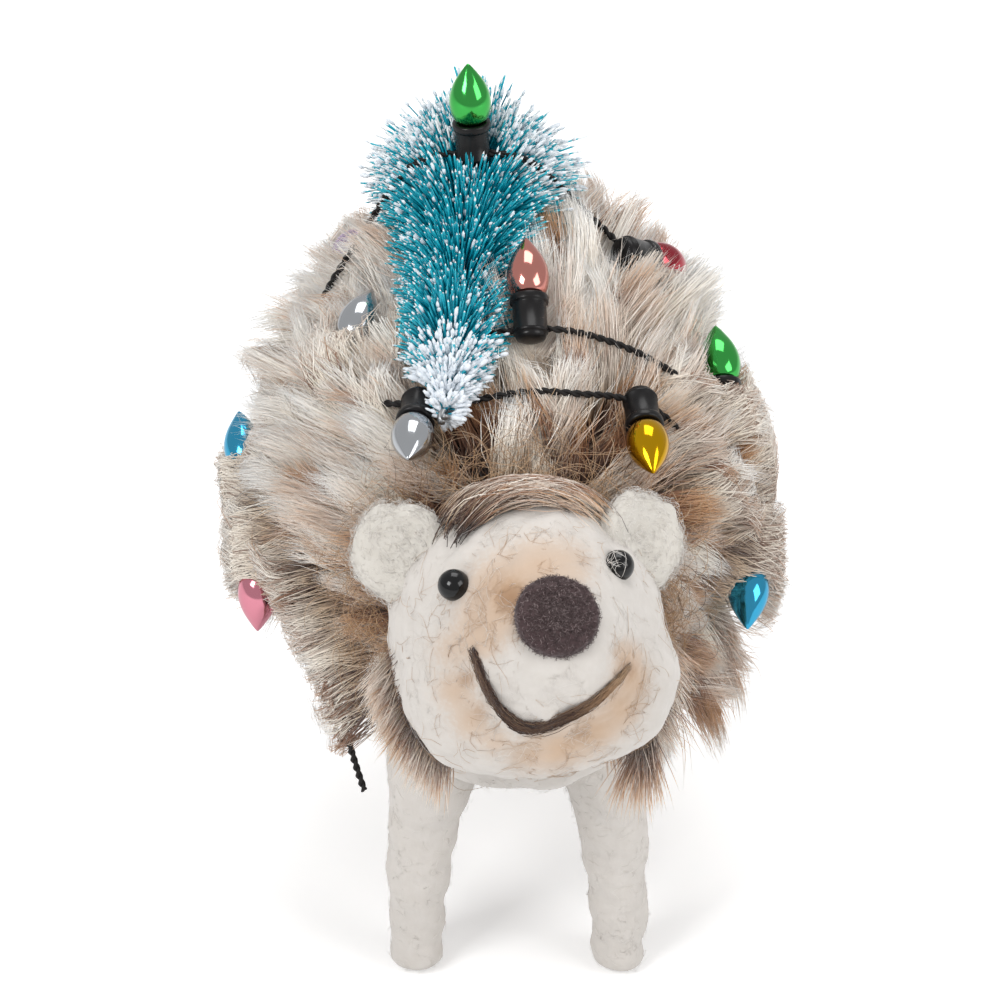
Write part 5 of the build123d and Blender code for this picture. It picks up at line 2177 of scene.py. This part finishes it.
    def shades(self, draw: Draw, places: Array, lock_brown: Array) -> Array:
        """How brown each hair is: more near the face, low down and at the low right, and in patches.

        Args:
            draw: The generator of the pile.
            places: The hairs' roots.
            lock_brown: How much browner each hair's lock is.

        Returns:
            From 0 to 1 for each hair.
        """
        low = np.clip((60 - places[:, 2]) / 16, 0, 1)
        right = np.clip((places[:, 0] - 14) / 12, 0, 1)
        brown = 0.07 + 0.95 * self.near_face(places, 12.0) + (0.35 + 0.8 * right) * low
        brown = brown + 0.45 * ripple(places, 12.0, 121)
        return np.clip(brown + lock_brown + draw.normal(0, 0.1, len(places)), 0, 1)

    def build(self) -> None:
        """Backing and pile, the pile in pieces from front to rear."""
        self.add_backing()
        draw = np.random.default_rng(102)
        roots, outs = self.roots()
        locks = self.locks(draw, roots, outs)
        pile, owner = self.pile(draw, roots, outs, locks)
        covers, cover_lock = self.covers(draw)
        lines = np.concatenate([pile, covers])
        places, count = lines[:, 0], len(lines)
        pile_brown = draw.normal(0, 0.45, len(locks.roots))[owner]
        cover_brown = draw.normal(0, 0.38, len(covers))[cover_lock]
        shades = self.shades(draw, places, np.concatenate([pile_brown, cover_brown]))
        taper = np.array([1.0, 1.0, 0.85, 0.6, 0.0])
        radii = self.pile_radius * taper[None] * draw.uniform(0.75, 1.15, (count, 1))
        order = np.argsort(places[:, 1] + 0.001 * places[:, 0])
        for number, start in enumerate(range(0, count, self.per_piece)):
            chosen = order[start:start + self.per_piece]
            mesh = strand_mesh(lines[chosen], radii[chosen], shades[chosen])
            add_piece(f"pile_{number + 1}", mesh, PILE, material=self.material)


@dataclass
class FaceHair:
    """Hair of the pelt's edge that lies over the head: wisps on the forehead, the ruff and a hanging tuft."""

    head: HeadForm
    coat: CoatForm
    material: Material
    steps: int = 8
    hair_radius: float = 0.07
    # Places on the coat's front that are tried for stray hairs
    stray_places: int = 30000
    wisp_count: int = 2300
    wisp_locks: int = 90
    # Ruff: first and last degrees round the face, number of hairs and their length
    ruffs: tuple = ((180.0, 226.0, 2100, 6.6), (310.0, 354.0, 1700, 6.2))
    # Tuft: place on the face, number of hairs and their length
    tuft: tuple = (15.5, -15.0, 2.5, 240, 11.0)

    def on_wool(self, polar_deg: Array, around_deg: Array, height: Array) -> Array:
        """Points over the wool.

        Args:
            polar_deg: Degrees from the muzzle's axis.
            around_deg: Degrees round it.
            height: The points' height over the wool.

        Returns:
            The points.
        """
        polar, around = np.radians(polar_deg), np.radians(around_deg)
        way = np.stack([np.sin(polar) * np.cos(around), np.sin(polar) * np.sin(around), np.cos(polar)], -1)
        return self.head.pushed(self.head.face.at(way * (self.head.radius + 1.5)), height)

    def wisps(self, draw: Draw) -> tuple[Array, Array]:
        """Wisps that lie across the top of the head.

        Args:
            draw: The generator of the face's hair.

        Returns:
            Their lines and shades.
        """
        count, locks = self.wisp_count, self.wisp_locks
        lock = draw.integers(0, locks, count)
        start = draw.uniform(86, 120, locks)[lock] + draw.normal(0, 5, count)
        sweep = draw.uniform(28, 66, locks)[lock] * draw.uniform(0.75, 1.1, count)
        grid = np.linspace(0, 1, self.steps)
        sweep = np.minimum(sweep, np.maximum(start - 56 + draw.normal(0, 7, count), 8))
        around = start[:, None] - sweep[:, None] * grid
        lowest = 57 + (122 - around) * 0.27
        level = np.clip(np.abs(draw.uniform(0, 1, locks)[lock] + draw.normal(0, 0.13, count)), 0, 1.15)
        polar = lowest + level[:, None] * (98 - lowest) + draw.normal(0, 9, locks)[lock][:, None] * grid
        wave = draw.normal(0, 3.0, (count, 1)) * np.sin(grid * draw.uniform(2, 7, (count, 1)))
        height = 0.25 + draw.uniform(0.2, 3.2, (count, 1)) * np.sin(math.pi * (0.1 + 0.75 * grid))
        flip = draw.uniform(0, 1, locks)[lock] < 0.25
        lines = self.on_wool(polar + wave, around, height)
        lines = np.where(flip[:, None, None], lines[:, ::-1], lines)
        return lines, np.clip(draw.normal(0.6, 0.3, locks)[lock] + draw.normal(0, 0.16, count), 0, 1)

    def hanging(self, root: Array, away: Array, length: Array, lock: Array, draw: Draw) -> Array:
        """Lines that leave a root outwards and hang, gathered in locks.

        Args:
            root: The roots.
            away: The way out at each.
            length: Length of each.
            lock: Number of the lock of each.
            draw: The generator of the face's hair.

        Returns:
            The lines.
        """
        count = len(root)
        locks = int(lock.max()) + 1
        way = unit(away * 0.75 + np.array([0, -0.1, -0.85]) + draw.normal(0, 0.22, (locks, 3))[lock])
        way = unit(way + draw.normal(0, 0.12, (count, 3)))
        grid = np.linspace(0, 1, self.steps)
        lines = root[:, None] + way[:, None] * (length[:, None] * grid)[..., None]
        lines[..., 2] -= 0.22 * length[:, None] * grid**2
        turns = draw.uniform(2, 6, (count, 1)) * grid + draw.uniform(0, math.tau, (count, 1))
        across = unit(np.cross(way, draw.normal(size=(count, 3))))
        return lines + across[:, None] * (draw.uniform(0, 0.7, (count, 1)) * grid * np.sin(turns))[..., None]

    def ruff(self, draw: Draw) -> tuple[Array, Array]:
        """The brown ruff under the cheeks and the tuft by the right one.

        Args:
            draw: The generator of the face's hair.

        Returns:
            Their lines and shades.
        """
        lines, shades = [], []
        face = self.head.face
        for first, last, count, reach in self.ruffs:
            locks = count // 50
            lock = draw.integers(0, locks, count)
            around = np.linspace(first, last, locks)[lock] + draw.normal(0, 2.4, count)
            polar = draw.triangular(78, 106, 124, count)
            root = self.on_wool(polar, around, np.full(count, -0.2))
            length = reach * draw.uniform(0.75, 1.15, locks)[lock] * draw.uniform(0.8, 1.1, count)
            lines.append(self.hanging(root, self.head.outward(root), length, lock, draw))
            shades.append(np.clip(draw.normal(0.62, 0.25, locks)[lock] + draw.normal(0, 0.12, count), 0, 1))
        side, up, out, count, reach = self.tuft
        root = self.head.pushed(face.at(np.array([[side, up, out]]) + draw.normal(0, 0.7, (count, 3))), 0.0)
        length = reach * draw.uniform(0.7, 1.15, count)
        away = self.head.outward(root) * 0.25
        lines.append(self.hanging(root, away, length, draw.integers(0, 3, count), draw))
        shades.append(np.clip(draw.normal(0.9, 0.12, count), 0, 1))
        return np.concatenate(lines), np.concatenate(shades)

    def build(self) -> None:
        """Wisps and ruff as one piece each, and stray curly hairs round the face."""
        draw = np.random.default_rng(201)
        taper = np.array([1.0, 1.0, 1.0, 0.95, 0.9, 0.8, 0.6, 0.0])
        for name, (lines, shades) in (("forehead_wisps", self.wisps(draw)), ("cheek_ruff", self.ruff(draw))):
            radii = self.hair_radius * taper[None] * draw.uniform(0.7, 1.15, (len(lines), 1))
            add_piece(name, strand_mesh(lines, radii, shades), PILE, material=self.material)
        count = self.stray_places
        share, around = draw.uniform(-0.99, -0.3, count), draw.uniform(-150, 150, count)
        places = self.coat.over(share, around, 2.5)
        near = np.abs(self.head.gap(places) - 4.5) < 4
        fuzz = Fuzz(
            "stray_hairs", BROWN_FIBRE, 800, 11.0, radius=0.04, curl=1.7, lift=2.2, steps=12, dark_share=0.1,
            seed=66,
        )
        fuzz.build(places[near], self.coat.outward(share, around)[near])


def clear_stage() -> None:
    """Removes whatever the file opened with that isn't the frame."""
    kept = {item.name for item in (*frame["nodes"].values(), *frame["bodies"].values())}
    for item in list(bpy.data.objects):
        if item.name not in kept:
            bpy.data.objects.remove(item)


def dress_hidden_wires() -> None:
    """Gives the wires inside the legs their finish."""
    material = WIRE.build()
    for name in ("front_leg_wire", "rear_leg_wire"):
        mesh = frame["nodes"][name].data
        mesh.materials.clear()
        mesh.materials.append(material)
        LOG.info("%s: kept from the frame", name)


def main() -> None:
    """Builds the studio and the figurine's sub-assemblies in order."""
    logging.basicConfig(level=logging.INFO, format="%(message)s")
    clear_stage()
    Studio().build()
    coat = CoatForm()
    tree = TreeForm(coat)
    head = HeadForm()
    string = LightString(coat, tree)
    capsules, free_capsules = string.build()
    cord_places = string.cord_places()
    BrushTree(coat, tree, capsules, cord_places).build()
    FeltHead(head).build()
    FeltLimbs().build()
    pile = PILE.build()
    FurCoat(coat, head, tree, free_capsules, cord_places, string.hidden_places(), pile).build()
    FaceHair(head, coat, pile).build()
    dress_hidden_wires()


if __name__ == "__main__":
    main()
